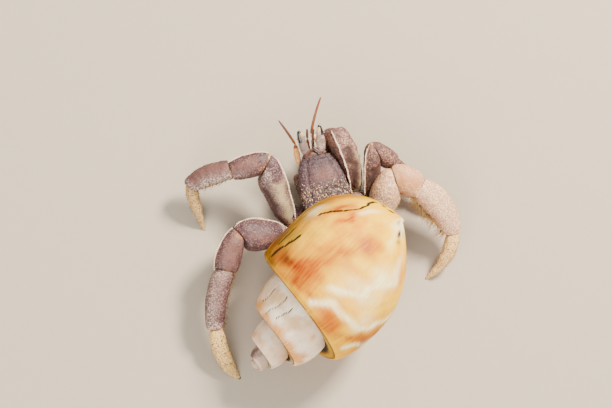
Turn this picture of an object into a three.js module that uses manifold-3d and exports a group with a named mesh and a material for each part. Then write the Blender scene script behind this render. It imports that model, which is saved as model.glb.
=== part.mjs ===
// A land hermit crab walking in a channelled whelk shell, life size, in millimetres.
// The crab faces -Y and its left is +X. The floor is z = 0.
import * as THREE from 'three';
import { mergeVertices } from 'three/addons/utils/BufferGeometryUtils.js';
import Module from 'manifold-3d';

// ---------------------------------------------------------------- driving dimensions

const MIDDLE = [0.6, 8.0];           // middle of the footprint, which becomes the origin
const GAP = 0.3;                     // free space between two pieces that meet

const shellForm = {
  apex: [25.7, 31.7, 8.8],           // tip of the spire
  heading: 207,                      // degrees from +X, from the apex to the canal
  pitch: 9,                          // degrees that the canal is higher than the apex
  length: 46.4,                      // apex to the end of the siphonal canal
  shoulderRadius: 15.4,              // shoulder edge at the lip, from the axis
  shoulderHeight: 19.0,              // shoulder edge at the lip, from the apex
  lipAngle: 0,                       // degrees of the lip above the side of the shell
  whorls: 4,
  tip: 0.7,                          // the worn tip, from the apex of the growth curve
  wall: 1.2,
  columella: 2.9,                    // radius of the pillar round the axis
  channelDepth: 0.055,               // of the shoulder radius
  cavityTurn: 0.42,                  // how far up the whorl the hollow is open
};
const shellSteps = 26;               // sections in one turn

const bodyForm = {
  shield: { front: [-2.9, -8.3, 10.6], rear: [-2.0, 4.6, 10.4] },
  thorax: { front: [-2.7, -5.8, 7.0], rear: [-1.6, 9.0, 7.0] },
  mouth: { top: [-2.7, -6.6, 6.9], bottom: [-2.8, -8.9, 6.0], apart: 1.4 },
};

const palette = {
  shell: 0xe8b878,
  shield: 0x8a7088,
  limb: 0xc4a4ac,
  limbDark: 0x9a7680,
  soft: 0xd6b49a,
  antenna: 0xd07a3c,
  eyestalk: 0xc8c0b8,
  cornea: 0x161214,
};

// ---------------------------------------------------------------- small helpers

const wasm = await Module();
wasm.setup();
const degrees = Math.PI / 180;
const vec = (p) => new THREE.Vector3(...p);
const lerp = THREE.MathUtils.lerp;
const clamp01 = (x) => THREE.MathUtils.clamp(x, 0, 1);

function material(colour, roughness = 0.6) {
  return new THREE.MeshStandardMaterial({ color: colour, roughness, metalness: 0 });
}

// Value at s (0 to 1) of a smooth line through evenly spaced stations.
function along(stations, s) {
  const last = stations.length - 1;
  const place = clamp01(s) * last;
  const i = Math.min(Math.floor(place), last - 1);
  const f = place - i;
  return lerp(stations[i], stations[i + 1], f * f * (3 - 2 * f));
}

function closedGeometry(points, triangles) {
  const geometry = new THREE.BufferGeometry();
  geometry.setAttribute('position', new THREE.Float32BufferAttribute(points.flat(), 3));
  geometry.setIndex(triangles.flat());
  return geometry;
}

// Triangles that fill a flat outline, wound the way the outline runs.
function fillOutline(outline) {
  const contour = outline.map(([x, y]) => new THREE.Vector2(x, y));
  const sense = Math.sign(THREE.ShapeUtils.area(contour));
  return THREE.ShapeUtils.triangulateShape(contour, []).map(([a, b, c]) => {
    const turn = Math.sign(THREE.ShapeUtils.area([contour[a], contour[b], contour[c]]));
    return turn === sense ? [a, b, c] : [a, c, b];
  });
}

// ---------------------------------------------------------------- boolean work

function toSolid(geometry) {
  const bare = geometry.clone();
  bare.deleteAttribute('normal');
  bare.deleteAttribute('uv');
  const merged = mergeVertices(bare, 1e-4);
  return new wasm.Manifold(new wasm.Mesh({
    numProp: 3,
    vertProperties: new Float32Array(merged.attributes.position.array),
    triVerts: new Uint32Array(merged.index.array),
  }));
}

function toGeometry(solid) {
  const mesh = solid.getMesh();
  const geometry = new THREE.BufferGeometry();
  geometry.setAttribute('position', new THREE.Float32BufferAttribute(mesh.vertProperties, 3));
  geometry.setIndex(Array.from(mesh.triVerts));
  return geometry;
}

// Cuts off what lies before the plane through a point, seen along a direction, and
// leaves half a gap free.
function keepBeyond(solid, point, way, clearance = GAP / 2) {
  const d = way.clone().normalize();
  return solid.trimByPlane(d.toArray(), d.dot(point) + clearance);
}

const aboveFloor = (solid) => keepBeyond(solid, new THREE.Vector3(), new THREE.Vector3(0, 0, 1), 0);

// The biggest of the bodies that a cut leaves.
function largest(solid) {
  return solid.decompose().reduce((best, body) => (body.volume() > best.volume() ? body : best));
}

// ---------------------------------------------------------------- the shell

// Turns are counted back from the lip: 0 is the lip, -1 is one whorl earlier.
// Both laws are growth curves that slow down a little towards the lip.
const shoulderR = (turn) => shellForm.shoulderRadius * Math.exp(0.56 * turn - 0.035 * turn * turn);
const shoulderU = (turn) => shellForm.shoulderHeight * Math.exp(0.57 * turn - 0.04 * turn * turn);

// Radius of the outside of the whorl at a distance u from the apex.
function whorlRadius(turn, u) {
  const back = clamp01(-turn);
  const radius = shoulderR(turn);
  const start = shoulderU(turn);
  const bulge = 0.045 + 0.235 * back ** 0.72;
  const widest = start + radius * lerp(0.45, 0.9, Math.min(1, back * 2));
  const most = radius * (1 + bulge);
  if (u <= widest) {
    return lerp(radius, most, 1 - (1 - clamp01((u - start) / (widest - start))) ** 2.2);
  }
  const end = shellForm.length * Math.exp(0.6 * Math.min(0, turn + 0.5));
  const s = clamp01((u - widest) / (end - widest));
  const p = lerp(3, 2.2, Math.min(1, back * 2));
  const power = lerp(0.5, 1, Math.min(1, back * 2));
  return most * (1 - s ** p) ** power;
}

// Radius of the pillar that carries on below the whorl, down to the canal.
function columellaRadius(u) {
  return shellForm.columella * (1 - 0.55 * (u / shellForm.length) ** 3);
}

// Place in space of a point given by its distance along the axis, its radius and its
// angle round the axis from the lip's side (0) over the top (90).
const axisDirection = new THREE.Vector3(
  Math.cos(shellForm.heading * degrees) * Math.cos(shellForm.pitch * degrees),
  Math.sin(shellForm.heading * degrees) * Math.cos(shellForm.pitch * degrees),
  Math.sin(shellForm.pitch * degrees),
);
const sideDirection = new THREE.Vector3(
  -Math.sin(shellForm.heading * degrees),
  Math.cos(shellForm.heading * degrees),
  0,
);
const upDirection = new THREE.Vector3().crossVectors(axisDirection, sideDirection);
function shellPoint(u, radius, angle) {
  return vec(shellForm.apex)
    .addScaledVector(axisDirection, u)
    .addScaledVector(sideDirection, radius * Math.cos(angle))
    .addScaledVector(upDirection, radius * Math.sin(angle));
}
const angleOf = (turn) => (shellForm.lipAngle - 360 * (turn % 1)) * degrees;

// Where the channel beside the shoulder lies, along the axis.
const channelU = (turn) => shoulderU(turn) + shellForm.channelDepth * shoulderR(turn);

// Outline of the shell in the half plane through its axis where the outer whorl is at
// the given turn. Each whorl gives its channel, its shoulder and its wall as far as the
// next channel, and the last whorl's wall goes on down to the canal.
const shoulderPoints = 3;
const wallShares = [0.3, 0.65];
const baseShares = [0, 0.14, 0.28, 0.42, 0.55, 0.67, 0.78, 0.87, 0.94, 0.98];
const whorlPoints = shoulderPoints + wallShares.length;
function shellOutline(turn) {
  const outline = [];
  for (let k = shellForm.whorls - 1; k >= 0; k -= 1) {
    const here = turn - k;
    const start = shoulderU(here);
    const rim = shoulderR(here);
    outline.push([channelU(here), whorlRadius(here - 1, channelU(here))]);
    outline.push([start, 0.93 * rim]);
    outline.push([start + 0.04 * rim, rim]);
    for (const share of wallShares) {
      const u = lerp(start, channelU(here + 1), share);
      outline.push([u, whorlRadius(here, u)]);
    }
  }
  for (const share of baseShares) {
    const u = lerp(channelU(turn + 1), shellForm.length, share);
    outline.push([u, Math.max(whorlRadius(turn, u), columellaRadius(u))]);
  }
  return outline;
}

// Points of a body between two turns, from the outlines at even steps.
function sweepOutlines(fromTurn, toTurn, steps, outlineAt) {
  const points = [];
  for (let i = 0; i <= steps; i += 1) {
    const turn = lerp(fromTurn, toTurn, i / steps);
    for (const [u, radius] of outlineAt(turn)) {
      points.push(shellPoint(u, radius, angleOf(turn)).toArray());
    }
  }
  return points;
}

// The whole shell as one closed surface. One turn of outlines brings every whorl back to
// the one before it, so the last outline meets the first along the spire. What is left
// open there is the face of the aperture and a small step at the tip.
function shellBody() {
  const first = shellOutline(0);
  const last = shellOutline(-1);
  const count = first.length;
  const points = sweepOutlines(0, -1, shellSteps, shellOutline);
  const tip = points.push(shellPoint(shellForm.tip, 0, 0).toArray()) - 1;
  const foot = points.push(shellPoint(shellForm.length, 0, 0).toArray()) - 1;
  const triangles = [];
  for (let i = 0; i < shellSteps; i += 1) {
    const a = i * count;
    const b = a + count;
    triangles.push([tip, b, a]);
    triangles.push([foot, a + count - 1, b + count - 1]);
    for (let j = 0; j < count - 1; j += 1) {
      triangles.push([a + j, b + j, b + j + 1], [a + j, b + j + 1, a + j + 1]);
    }
  }
  const lastRow = shellSteps * count;
  const run = (from, to) => Array.from({ length: to - from }, (_, i) => from + i);
  const outerWhorl = run(whorlPoints * (shellForm.whorls - 1), count);
  const innerWhorl = run(whorlPoints * shellForm.whorls + 1, count).reverse();
  const aperture = [
    ...outerWhorl.map((j) => ({ index: j, at: first[j] })),
    { index: foot, at: [shellForm.length, 0] },
    ...innerWhorl.map((j) => ({ index: lastRow + j, at: last[j] })),
  ];
  const step = [
    { index: tip, at: [shellForm.tip, 0] },
    ...run(0, whorlPoints + 1).reverse().map((j) => ({ index: lastRow + j, at: last[j] })),
  ];
  for (const face of [aperture, step]) {
    for (const corners of fillOutline(face.map(({ at }) => at))) {
      triangles.push(corners.map((corner) => face[corner].index));
    }
  }
  return toSolid(closedGeometry(points, triangles));
}

// Section of the hollow: under the wall on the outside, over the earlier whorl and the
// pillar on the inside.
function hollowOutline(turn) {
  const shape = Math.min(turn, 0);
  const start = shoulderU(shape) + 1.5 * shellForm.wall;
  const end = shellForm.length - 2.4;
  const outer = [];
  const inner = [];
  for (const share of [0, 0.12, 0.28, 0.45, 0.62, 0.78, 0.9, 1]) {
    const u = lerp(start, end, share);
    const top = whorlRadius(shape, u) - shellForm.wall;
    const bottom = Math.max(whorlRadius(shape - 1, u), columellaRadius(u)) + 0.4;
    outer.push([u, Math.max(top, bottom + 0.3)]);
    inner.unshift([u, bottom]);
  }
  return [...outer, ...inner];
}

function shellHollow(fromTurn, toTurn, steps) {
  const points = sweepOutlines(fromTurn, toTurn, steps, hollowOutline);
  const count = hollowOutline(0).length;
  const triangles = [];
  for (let i = 0; i < steps; i += 1) {
    const a = i * count;
    const b = a + count;
    for (let j = 0; j < count; j += 1) {
      const next = (j + 1) % count;
      triangles.push([a + j, b + j, b + next], [a + j, b + next, a + next]);
    }
  }
  for (const first of [true, false]) {
    const base = first ? 0 : steps * count;
    for (const [a, b, c] of fillOutline(hollowOutline(first ? fromTurn : toTurn))) {
      triangles.push(first ? [base + a, base + b, base + c] : [base + a, base + c, base + b]);
    }
  }
  return toSolid(closedGeometry(points, triangles));
}

function makeShell() {
  const hollow = shellHollow(0.03, -shellForm.cavityTurn, 12);
  return toGeometry(largest(aboveFloor(shellBody().subtract(hollow))));
}

// ---------------------------------------------------------------- moulded pieces

// A closed piece along a bent line. A ball is moulded: its poles go to the two ends, its
// rings become sections of the given width and height, and blunt (0 to 1) sets how full
// the ends are. The dorsal direction is the section's top.
function mould({ from, to, bend = [0, 0, 0], width, height, dorsal = [0, 0, 1],
  square = 2.3, blunt = 0.45, sides = 10, rings = 9, grow = 0 }) {
  const start = vec(from);
  const end = vec(to);
  const middle = start.clone().lerp(end, 0.5).addScaledVector(vec(bend), 2);
  const path = new THREE.QuadraticBezierCurve3(start, middle, end);
  const ball = new THREE.SphereGeometry(1, sides, rings);
  ball.deleteAttribute('normal');
  ball.deleteAttribute('uv');
  const geometry = mergeVertices(ball, 1e-4);
  const position = geometry.attributes.position;
  const unit = new THREE.Vector3();
  const flat = (x) => Math.sign(x) * Math.abs(x) ** (2 / square);
  for (let i = 0; i < position.count; i += 1) {
    unit.fromBufferAttribute(position, i);
    const polar = Math.acos(THREE.MathUtils.clamp(unit.y, -1, 1));
    const t = lerp(polar / Math.PI, (1 - unit.y) / 2, 0.6);
    const ring = Math.max(0, Math.sin(polar)) ** blunt;
    const turn = Math.atan2(unit.z, unit.x);
    const tangent = path.getTangent(t);
    const side = new THREE.Vector3().crossVectors(tangent, vec(dorsal)).normalize();
    const up = new THREE.Vector3().crossVectors(side, tangent);
    const point = path.getPoint(t)
      .addScaledVector(side, -flat(Math.cos(turn)) * ring * (along(width, t) / 2 + grow))
      .addScaledVector(up, flat(Math.sin(turn)) * ring * (along(height, t) / 2 + grow))
      .addScaledVector(tangent, grow * (2 * t - 1));
    position.setXYZ(i, point.x, point.y, point.z);
  }
  return geometry;
}

const crab = new THREE.Group();
crab.position.set(-MIDDLE[0], -MIDDLE[1], 0);

function addPiece(name, geometry, colour, roughness) {
  const piece = new THREE.Mesh(geometry, material(colour, roughness));
  piece.name = name;
  crab.add(piece);
}

const direction = (a, b) => vec(b).sub(vec(a)).normalize();
const moved = (point, step, distance) => vec(point).addScaledVector(step, distance).toArray();

// A limb is a chain of segments between joints. Each segment runs a little past its
// joints and is cut on the plane that halves the bend there, and round its neighbours.
function addLimb(name, joints, segments, colour, neighbours) {
  const ways = segments.map((_, i) => direction(joints[i], joints[i + 1]));
  segments.forEach((segment, i) => {
    const last = i === segments.length - 1;
    const from = moved(joints[i], ways[i], -segment.overlap);
    const to = last ? joints[i + 1] : moved(joints[i + 1], ways[i], segment.overlap);
    let solid = toSolid(mould({ ...segment, from, to }));
    if (i > 0) {
      solid = keepBeyond(solid, vec(joints[i]), ways[i - 1].clone().add(ways[i]));
    }
    if (!last) {
      solid = keepBeyond(solid, vec(joints[i + 1]), ways[i].clone().add(ways[i + 1]).negate());
    }
    for (const neighbour of [...neighbours, ...(segment.under ?? [])]) {
      solid = solid.subtract(toSolid(mould({ ...neighbour, grow: GAP })));
    }
    addPiece(`${name}_${segment.part}`, toGeometry(largest(aboveFloor(solid))), colour);
  });
}

// ---------------------------------------------------------------- the body

const { shield, thorax, mouth } = bodyForm;
const shieldShape = {
  from: shield.front,
  to: shield.rear,
  width: [8.2, 9.6, 10.8, 11.4, 11.4],
  height: [2.8, 3.4, 3.6, 3.6],
  square: 2.8,
  blunt: 0.10,
  sides: 14,
  rings: 11,
};
const thoraxShape = {
  from: thorax.front,
  to: thorax.rear,
  width: [6.0, 7.6, 8.4, 7.4],
  height: [2.4, 3.0, 3.2, 3.2],
  blunt: 0.4,
  sides: 10,
  rings: 8,
};

addPiece('shell', makeShell(), palette.shell, 0.35);
addPiece('shield', mould(shieldShape), palette.shield, 0.5);
addPiece('thorax', mould(thoraxShape), palette.soft, 0.6);

// The soft abdomen leaves the thorax and follows the hollow of the shell upwards.
const hollowMiddle = (turn) => shellPoint(31, 9.6, angleOf(turn)).toArray();
addPiece('abdomen', mould({
  from: [-2.4, 10.4, 8.2],
  to: hollowMiddle(-0.2),
  bend: [-0.6, -3.0, 0.6],
  width: [4.4, 6.4, 6.0, 4.0],
  height: [3.0, 5.4, 5.4, 4.0],
  dorsal: [0, -1, 0],
}), palette.soft);

for (const [side, way] of [['left', 1], ['right', -1]]) {
  const shift = (p) => [p[0] + way * mouth.apart / 2 + way * 0.35, p[1], p[2]];
  addPiece(`maxilliped_${side}`, mould({
    from: shift(mouth.top), to: shift(mouth.bottom), width: [1.3, 1.4, 1.0], height: [1.6, 1.5, 1.0], sides: 8, rings: 6,
  }), palette.limbDark);
  addPiece(`leg_4_${side}`, mould({
    from: [-1.6 + way * 4.5, 9.8, 8.6],
    to: [-1.6 + way * 4.0, 10.4, 12.4],
    bend: [way * 0.5, 0, 0],
    width: [1.7, 1.9, 1.4],
    height: [1.7, 1.9, 1.4],
    dorsal: [0, 1, 0],
    sides: 8,
    rings: 6,
  }), palette.limb);
}

// ---------------------------------------------------------------- the head

const headParts = {
  left: {
    stalk: { from: [-0.9, -8.9, 11.1], to: [-0.3, -13.9, 14.3], width: [2.2, 2.1, 1.7, 1.5], height: [1.8, 1.8, 1.6, 1.6] },
    peduncle: { from: [0.9, -7.8, 9.2], to: [0.5, -11.9, 10.5], width: [1.4, 1.4, 1.1], height: [1.5, 1.3, 1.0] },
    flagellum: { from: [0.5, -12.3, 10.6], to: [3.0, -17.5, 13.4], bend: [0, 0, 0.3] },
    antennule: { from: [-2.1, -9.6, 9.9], to: [-2.2, -12.2, 11.6] },
    palp: { from: [-2.2, -12.6, 11.8], to: [-2.5, -14.0, 13.0] },
  },
  right: {
    stalk: { from: [-4.4, -8.6, 11.1], to: [-5.0, -13.9, 14.3], width: [2.3, 2.2, 1.8, 1.3], height: [1.8, 1.8, 1.7, 1.5] },
    peduncle: { from: [-5.5, -8.9, 9.6], to: [-3.6, -13.1, 10.6], bend: [-0.2, 0, 0], width: [1.6, 1.3, 1.4], height: [1.5, 1.2, 1.2] },
    flagellum: { from: [-3.6, -13.6, 10.8], to: [-7.1, -19.4, 15.4], bend: [0.3, 0, 0.3] },
    antennule: { from: [-3.1, -9.7, 9.9], to: [-3.3, -11.8, 11.5] },
    palp: { from: [-3.4, -12.2, 11.7], to: [-3.9, -13.6, 12.9] },
  },
};
const corneaShare = 0.7;             // of the stalk's length, where the cornea begins

for (const [side, head] of Object.entries(headParts)) {
  const stalk = toSolid(mould({ ...head.stalk, blunt: 0.35, rings: 10 }));
  const way = direction(head.stalk.from, head.stalk.to);
  const rim = vec(head.stalk.from).lerp(vec(head.stalk.to), corneaShare);
  addPiece(`eyestalk_${side}`, toGeometry(keepBeyond(stalk, rim, way.clone().negate())), palette.eyestalk);
  addPiece(`eye_${side}`, toGeometry(keepBeyond(stalk, rim, way)), palette.cornea, 0.1);
  addPiece(`antenna_base_${side}`, mould({ ...head.peduncle, sides: 8, rings: 8 }), palette.antenna);
  addPiece(`antenna_${side}`, mould({
    ...head.flagellum, width: [0.75, 0.6, 0.55, 0.5], height: [0.75, 0.6, 0.55, 0.5], sides: 6, rings: 10, blunt: 0.3, square: 2,
  }), palette.antenna);
  addPiece(`antennule_base_${side}`, mould({
    ...head.antennule, width: [0.8, 0.7, 0.7], height: [0.8, 0.7, 0.7], sides: 6, rings: 6,
  }), palette.antenna);
  addPiece(`antennule_${side}`, mould({
    ...head.palp, width: [0.6, 0.55, 0.5], height: [0.6, 0.55, 0.5], sides: 6, rings: 6, square: 2,
  }), palette.antenna);
}

// ---------------------------------------------------------------- the limbs

const legSegments = (form) => [
  { part: 'coxa', width: [3.0, 3.4, 3.8], height: [2.8, 3.2, 3.8], overlap: 0.8, sides: 8, rings: 6 },
  { part: 'merus', width: [3.6, 5.0, 5.6, 4.8], height: [4.2, 5.8, 6.2, 5.2], overlap: 1.3, blunt: 0.3, ...form.merus },
  { part: 'carpus', width: [4.8, 5.4, 6.0, 5.8], height: [4.4, 5.2, 5.4, 4.8], overlap: 1.2, blunt: 0.28, rings: 8,
    ...form.carpus },
  { part: 'propodus', width: [5.2, 5.0, 4.8, 4.4], height: [4.8, 4.6, 4.2, 3.8], overlap: 1.1, blunt: 0.26, rings: 8,
    ...form.propodus },
  { part: 'dactyl', width: [4.0, 3.7, 3.2, 2.4, 1.3], height: [3.4, 3.2, 2.7, 2.0, 1.2], overlap: 0.7,
    blunt: 0.35, rings: 9, ...form.dactyl },
];

const legs = {
  leg_2_left: {
    joints: [[1.5, 1.6, 7.2], [6.6, 3.2, 7.2], [8.2, -9.8, 12.4], [15.9, -10.3, 10.9], [24.4, -10.4, 6.5], [23.4, -1.0, -0.35]],
    merus: { bend: [0.5, 0, 0.5], width: [3.8, 5.2, 6.4, 6.6], height: [4.2, 5.6, 6.0, 5.4] },
    carpus: { width: [5.2, 5.4, 5.2, 4.8], height: [4.4, 5.0, 5.0, 4.4] },
    propodus: { bend: [0.2, -0.7, 0.4] },
    dactyl: { bend: [0.4, -0.6, 0.6], width: [3.4, 3.2, 2.7, 2.0, 1.2] },
  },
  leg_3_left: {
    joints: [[1.5, 6.2, 7.2], [8.6, 6.6, 7.2], [19.0, 3.6, 11.0], [23.5, 9.7, 9.4], [28.7, 20.6, 5.4], [26.3, 32.1, -0.35]],
    merus: { width: [4.4, 6.4, 7.4, 6.6], bend: [0, -0.3, 0.4] },
    carpus: { bend: [0.5, -0.4, 0.2], width: [5.0, 5.4, 6.2, 6.4] },
    propodus: { bend: [1.2, -0.2, 0.3], width: [5.6, 5.0, 4.7, 4.6] },
    dactyl: { bend: [1.4, 0.6, 0.5], width: [4.2, 4.1, 3.8, 3.2, 1.6] },
  },
  leg_3_right: {
    joints: [[-5.2, 6.8, 7.2], [-11.2, 9.0, 8.0], [-17.6, 1.4, 12.4], [-21.4, 5.5, 11.8], [-27.6, 16.4, 5.8], [-20.1, 23.8, -0.35]],
    merus: { width: [4.2, 6.4, 7.4, 7.0] },
    carpus: { bend: [-0.3, -0.5, 0.2], width: [5.6, 6.2, 6.6, 6.6], height: [4.4, 5.2, 5.6, 5.2] },
    propodus: { bend: [-1.4, -0.9, 0.4], width: [6.6, 6.8, 6.2, 4.8], height: [5.0, 4.8, 4.4, 3.8] },
    dactyl: { bend: [-1.2, 1.0, 0.5] },
  },
  leg_2_right: {
    joints: [[-5.4, 1.8, 7.2], [-12.4, 3.9, 6.5], [-15.4, -5.8, 11.4], [-19.4, -2.2, 8.8], [-24.0, 5.0, 4.0], [-28.0, 12.4, -0.35]],
    merus: { width: [3.4, 3.8, 4.4, 4.6], height: [3.6, 5.0, 5.6, 5.2] },
    carpus: { width: [4.2, 4.8, 5.0, 4.2], height: [4.4, 4.6, 4.6, 3.8] },
    propodus: { width: [3.8, 3.8, 3.6, 3.2], height: [3.6, 3.6, 3.4, 3.0] },
    dactyl: { width: [3.0, 2.8, 2.4, 1.8, 1.1], height: [2.8, 2.6, 2.2, 1.7, 1.1] },
  },
};

// The upper part of the third right leg lies over the second one.
const overlying = { ...legSegments(legs.leg_3_right)[1], from: legs.leg_3_right.joints[1], to: legs.leg_3_right.joints[2] };
for (const [name, form] of Object.entries(legs)) {
  const neighbours = name === 'leg_2_right' ? [thoraxShape, overlying] : [thoraxShape];
  addLimb(name, form.joints, legSegments(form), palette.limb, neighbours);
}

// The two claws hang in front of the mouth and under the shield. The palm carries the
// fixed finger, and the movable finger lies over it.
function addClaw(name, form) {
  const finger = { blunt: 0.35, sides: 8, rings: 8, ...form.finger };
  addLimb(name, form.joints, [
    { part: 'ischium', overlap: 0.6, sides: 8, rings: 6, ...form.ischium },
    { part: 'merus', overlap: 0.9, ...form.merus },
    { part: 'carpus', overlap: 0.8, rings: 7, ...form.carpus },
    { part: 'palm', overlap: 0.6, blunt: 0.4, under: [finger], ...form.palm },
  ], palette.limbDark, [thoraxShape, shieldShape]);
  addPiece(`${name}_finger`, mould(finger), palette.limbDark);
}

addClaw('claw_right', {
  joints: [[-5.2, -2.6, 7.2], [-9.3, -0.4, 7.0], [-8.5, -11.0, 10.4], [-8.2, -11.6, 6.4], [-3.2, -3.0, 1.0]],
  ischium: { width: [3.0, 3.6, 4.0], height: [2.8, 3.4, 4.2] },
  merus: { overlap: 2.4, blunt: 0.3, width: [4.2, 5.0, 5.8, 5.4], height: [4.4, 6.2, 6.6, 5.6], bend: [-0.9, 0, 0.7] },
  carpus: { width: [4.4, 4.8, 4.6], height: [4.0, 4.4, 4.2], dorsal: [0, -1, 0.2] },
  palm: { width: [4.2, 5.0, 4.6, 3.0, 1.6], height: [4.4, 4.4, 3.6, 2.2, 1.4], bend: [-0.6, 0, 0.2] },
  finger: { from: [-5.6, -6.8, 5.0], to: [-3.1, -3.2, 2.5], bend: [0, 0, 0.4], width: [2.2, 2.2, 1.7, 1.1],
    height: [1.8, 1.8, 1.5, 1.0] },
});
addClaw('claw_left', {
  joints: [[0.2, -2.0, 7.2], [0.9, -0.4, 4.8], [0.9, -5.2, 4.6], [0.2, -5.6, 2.6], [-0.6, 1.2, 0.9]],
  ischium: { width: [2.0, 2.2, 2.4], height: [1.8, 2.2, 2.4], dorsal: [0, 1, 0] },
  merus: { width: [2.4, 2.6, 2.6], height: [2.2, 2.6, 2.6], sides: 8 },
  carpus: { width: [2.4, 2.6, 2.4], height: [2.2, 2.4, 2.2], dorsal: [0, -1, 0.2], sides: 8 },
  palm: { width: [2.2, 3.0, 2.8, 1.9, 1.1], height: [2.0, 2.4, 2.0, 1.5, 1.1] },
  finger: { from: [0.0, -2.4, 3.1], to: [-0.5, 0.9, 2.2], width: [1.5, 1.5, 1.2, 0.8], height: [1.2, 1.2, 1.0, 0.8] },
});

export default crab;
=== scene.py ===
"""A land hermit crab walking in a channelled whelk shell, at life size.

The tables and formulas work in millimetres, in the crab's own drawing frame: -Y is ahead,
+X is the crab's left and +Z is up. `Shape.build` moves each piece into the row frame, in metres.
"""
import math

import bpy
import numpy as np
from mathutils import Matrix


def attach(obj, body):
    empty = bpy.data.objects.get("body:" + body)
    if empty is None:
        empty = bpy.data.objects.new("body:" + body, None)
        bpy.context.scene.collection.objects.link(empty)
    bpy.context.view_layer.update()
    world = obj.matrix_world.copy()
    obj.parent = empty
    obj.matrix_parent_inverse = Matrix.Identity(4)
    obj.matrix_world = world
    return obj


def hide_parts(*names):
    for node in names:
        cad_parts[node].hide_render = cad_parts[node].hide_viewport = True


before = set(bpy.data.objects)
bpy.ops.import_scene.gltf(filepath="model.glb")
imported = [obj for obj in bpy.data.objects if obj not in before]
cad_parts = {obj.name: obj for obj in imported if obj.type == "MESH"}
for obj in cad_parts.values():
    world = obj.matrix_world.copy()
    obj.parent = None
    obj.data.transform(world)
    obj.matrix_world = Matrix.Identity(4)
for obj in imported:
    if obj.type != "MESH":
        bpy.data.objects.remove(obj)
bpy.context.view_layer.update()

bl_info = {
    "name": "Hermit crab builder",
    "version": (1, 0, 0),
    "blender": (4, 5, 0),
    "location": "3D View > Sidebar > Hermit crab",
    "description": "Builds the plates, whorls, eyes, feelers and bristles of a hermit crab",
    "category": "Add Mesh",
}

MM = 0.001
MIDDLE = np.array([0.6, 8.0, 0.0])
FULL_TURN = 2 * math.pi
UP = (0.0, 0.0, 1.0)


# ---------------------------------------------------------------- curves and fields

def unit(vectors):
    """Vectors of length one in the same directions."""
    return vectors / np.linalg.norm(vectors, axis=-1, keepdims=True)


def ease(x):
    """0 below 0, 1 above 1, and a smooth step between: 3x² - 2x³."""
    x = np.clip(x, 0, 1)
    return x * x * (3 - 2 * x)


def through(stations, share):
    """Value at each share of a line through evenly spaced stations, eased between them."""
    table = np.asarray(stations, float)
    place = np.clip(share, 0, 1) * (len(table) - 1)
    low = np.minimum(place.astype(int), len(table) - 2)
    return table[low] + (table[low + 1] - table[low]) * ease(place - low)


def waves(points, size, seed, count=7):
    """Smooth irregular field from about -1 to 1: the sum of sine waves in random directions."""
    rng = np.random.default_rng(seed)
    ways = unit(rng.normal(size=(count, points.shape[-1])))
    steps = FULL_TURN / (size * rng.uniform(0.6, 1.7, count))
    phases = rng.uniform(0, FULL_TURN, count)
    return np.sin(points @ (ways * steps[:, None]).T + phases).sum(-1) / math.sqrt(count)


def spot(x, y, row):
    """Soft oval field: exp(-(dx/a)² - (dy/b)²), for a row (x, y, a, b, strength)."""
    at_x, at_y, half_x, half_y, strength = row
    return strength * np.exp(-((x - at_x) / half_x) ** 2 - ((y - at_y) / half_y) ** 2)


def spots(x, y, rows):
    """Several ovals together: 1 minus the product of what each leaves."""
    left = np.ones(np.broadcast(x, y).shape)
    for row in rows:
        left = left * (1 - np.clip(spot(x, y, row), 0, 1))
    return 1 - left


def stroke(x, y, corners, width):
    """Soft line through corners: exp(-(distance/width)²), from the nearest leg of the line."""
    nearest = np.full(np.broadcast(x, y).shape, np.inf)
    for (ax, ay), (bx, by) in zip(corners, corners[1:]):
        dx, dy = bx - ax, by - ay
        share = np.clip(((x - ax) * dx + (y - ay) * dy) / (dx * dx + dy * dy), 0, 1)
        nearest = np.minimum(nearest, np.hypot(x - ax - share * dx, y - ay - share * dy))
    return np.exp(-(nearest / width) ** 2)


def around(angle, centre, half_width):
    """Soft band round a section: exp(-(turned angle/half width)²), both in degrees."""
    apart = (np.degrees(angle) - centre + 180) % 360 - 180
    return np.exp(-(apart / half_width) ** 2)


def between(share, start, end, soft=0.08):
    """1 between two shares of a length, with eased ends."""
    return ease((share - start) / soft + 0.5) * ease((end - share) / soft + 0.5)


# ---------------------------------------------------------------- meshes

def grid_quads(rows, columns):
    """Corners of the quads of a grid of points, closed round its columns."""
    i = np.arange(rows - 1)[:, None] * columns
    j = np.arange(columns)[None, :]
    k = (j + 1) % columns
    return np.stack([i + j, i + k, i + columns + k, i + columns + j], -1).reshape(-1, 4)


def fan(tip, ring):
    """Triangles from one point to each side of a closed ring."""
    return np.stack([np.full(len(ring), tip), ring, np.roll(ring, -1)], -1)


def tube_faces(rows, columns):
    """Quads of a closed tube whose two ends run to the two points that follow its grid."""
    ring = np.arange(columns)
    last = rows * columns
    return [grid_quads(rows, columns), fan(last, ring[::-1]), fan(last + 1, ring + last - columns)]


def ball(rows, columns):
    """Points and faces of a closed ball of radius one, with rows of points between its poles."""
    polar = np.linspace(0, math.pi, rows + 2)[1:-1, None]
    angle = np.linspace(0, FULL_TURN, columns, endpoint=False)[None, :]
    grid = np.stack([np.sin(polar) * np.cos(angle), np.sin(polar) * np.sin(angle),
                     np.cos(polar) + 0 * angle], -1).reshape(-1, 3)
    return np.concatenate([grid, [[0, 0, 1.0]], [[0, 0, -1.0]]]), tube_faces(rows, columns)


def signed_volume(points, faces):
    """A sixth of the sum of a·(b×c) over the triangles, positive where they face out."""
    total = 0.0
    for corners in faces:
        for k in range(1, corners.shape[1] - 1):
            a, b, c = points[corners[:, 0]], points[corners[:, k]], points[corners[:, k + 1]]
            total += np.einsum("ij,ij->i", a, np.cross(b, c)).sum()
    return total / 6


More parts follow.
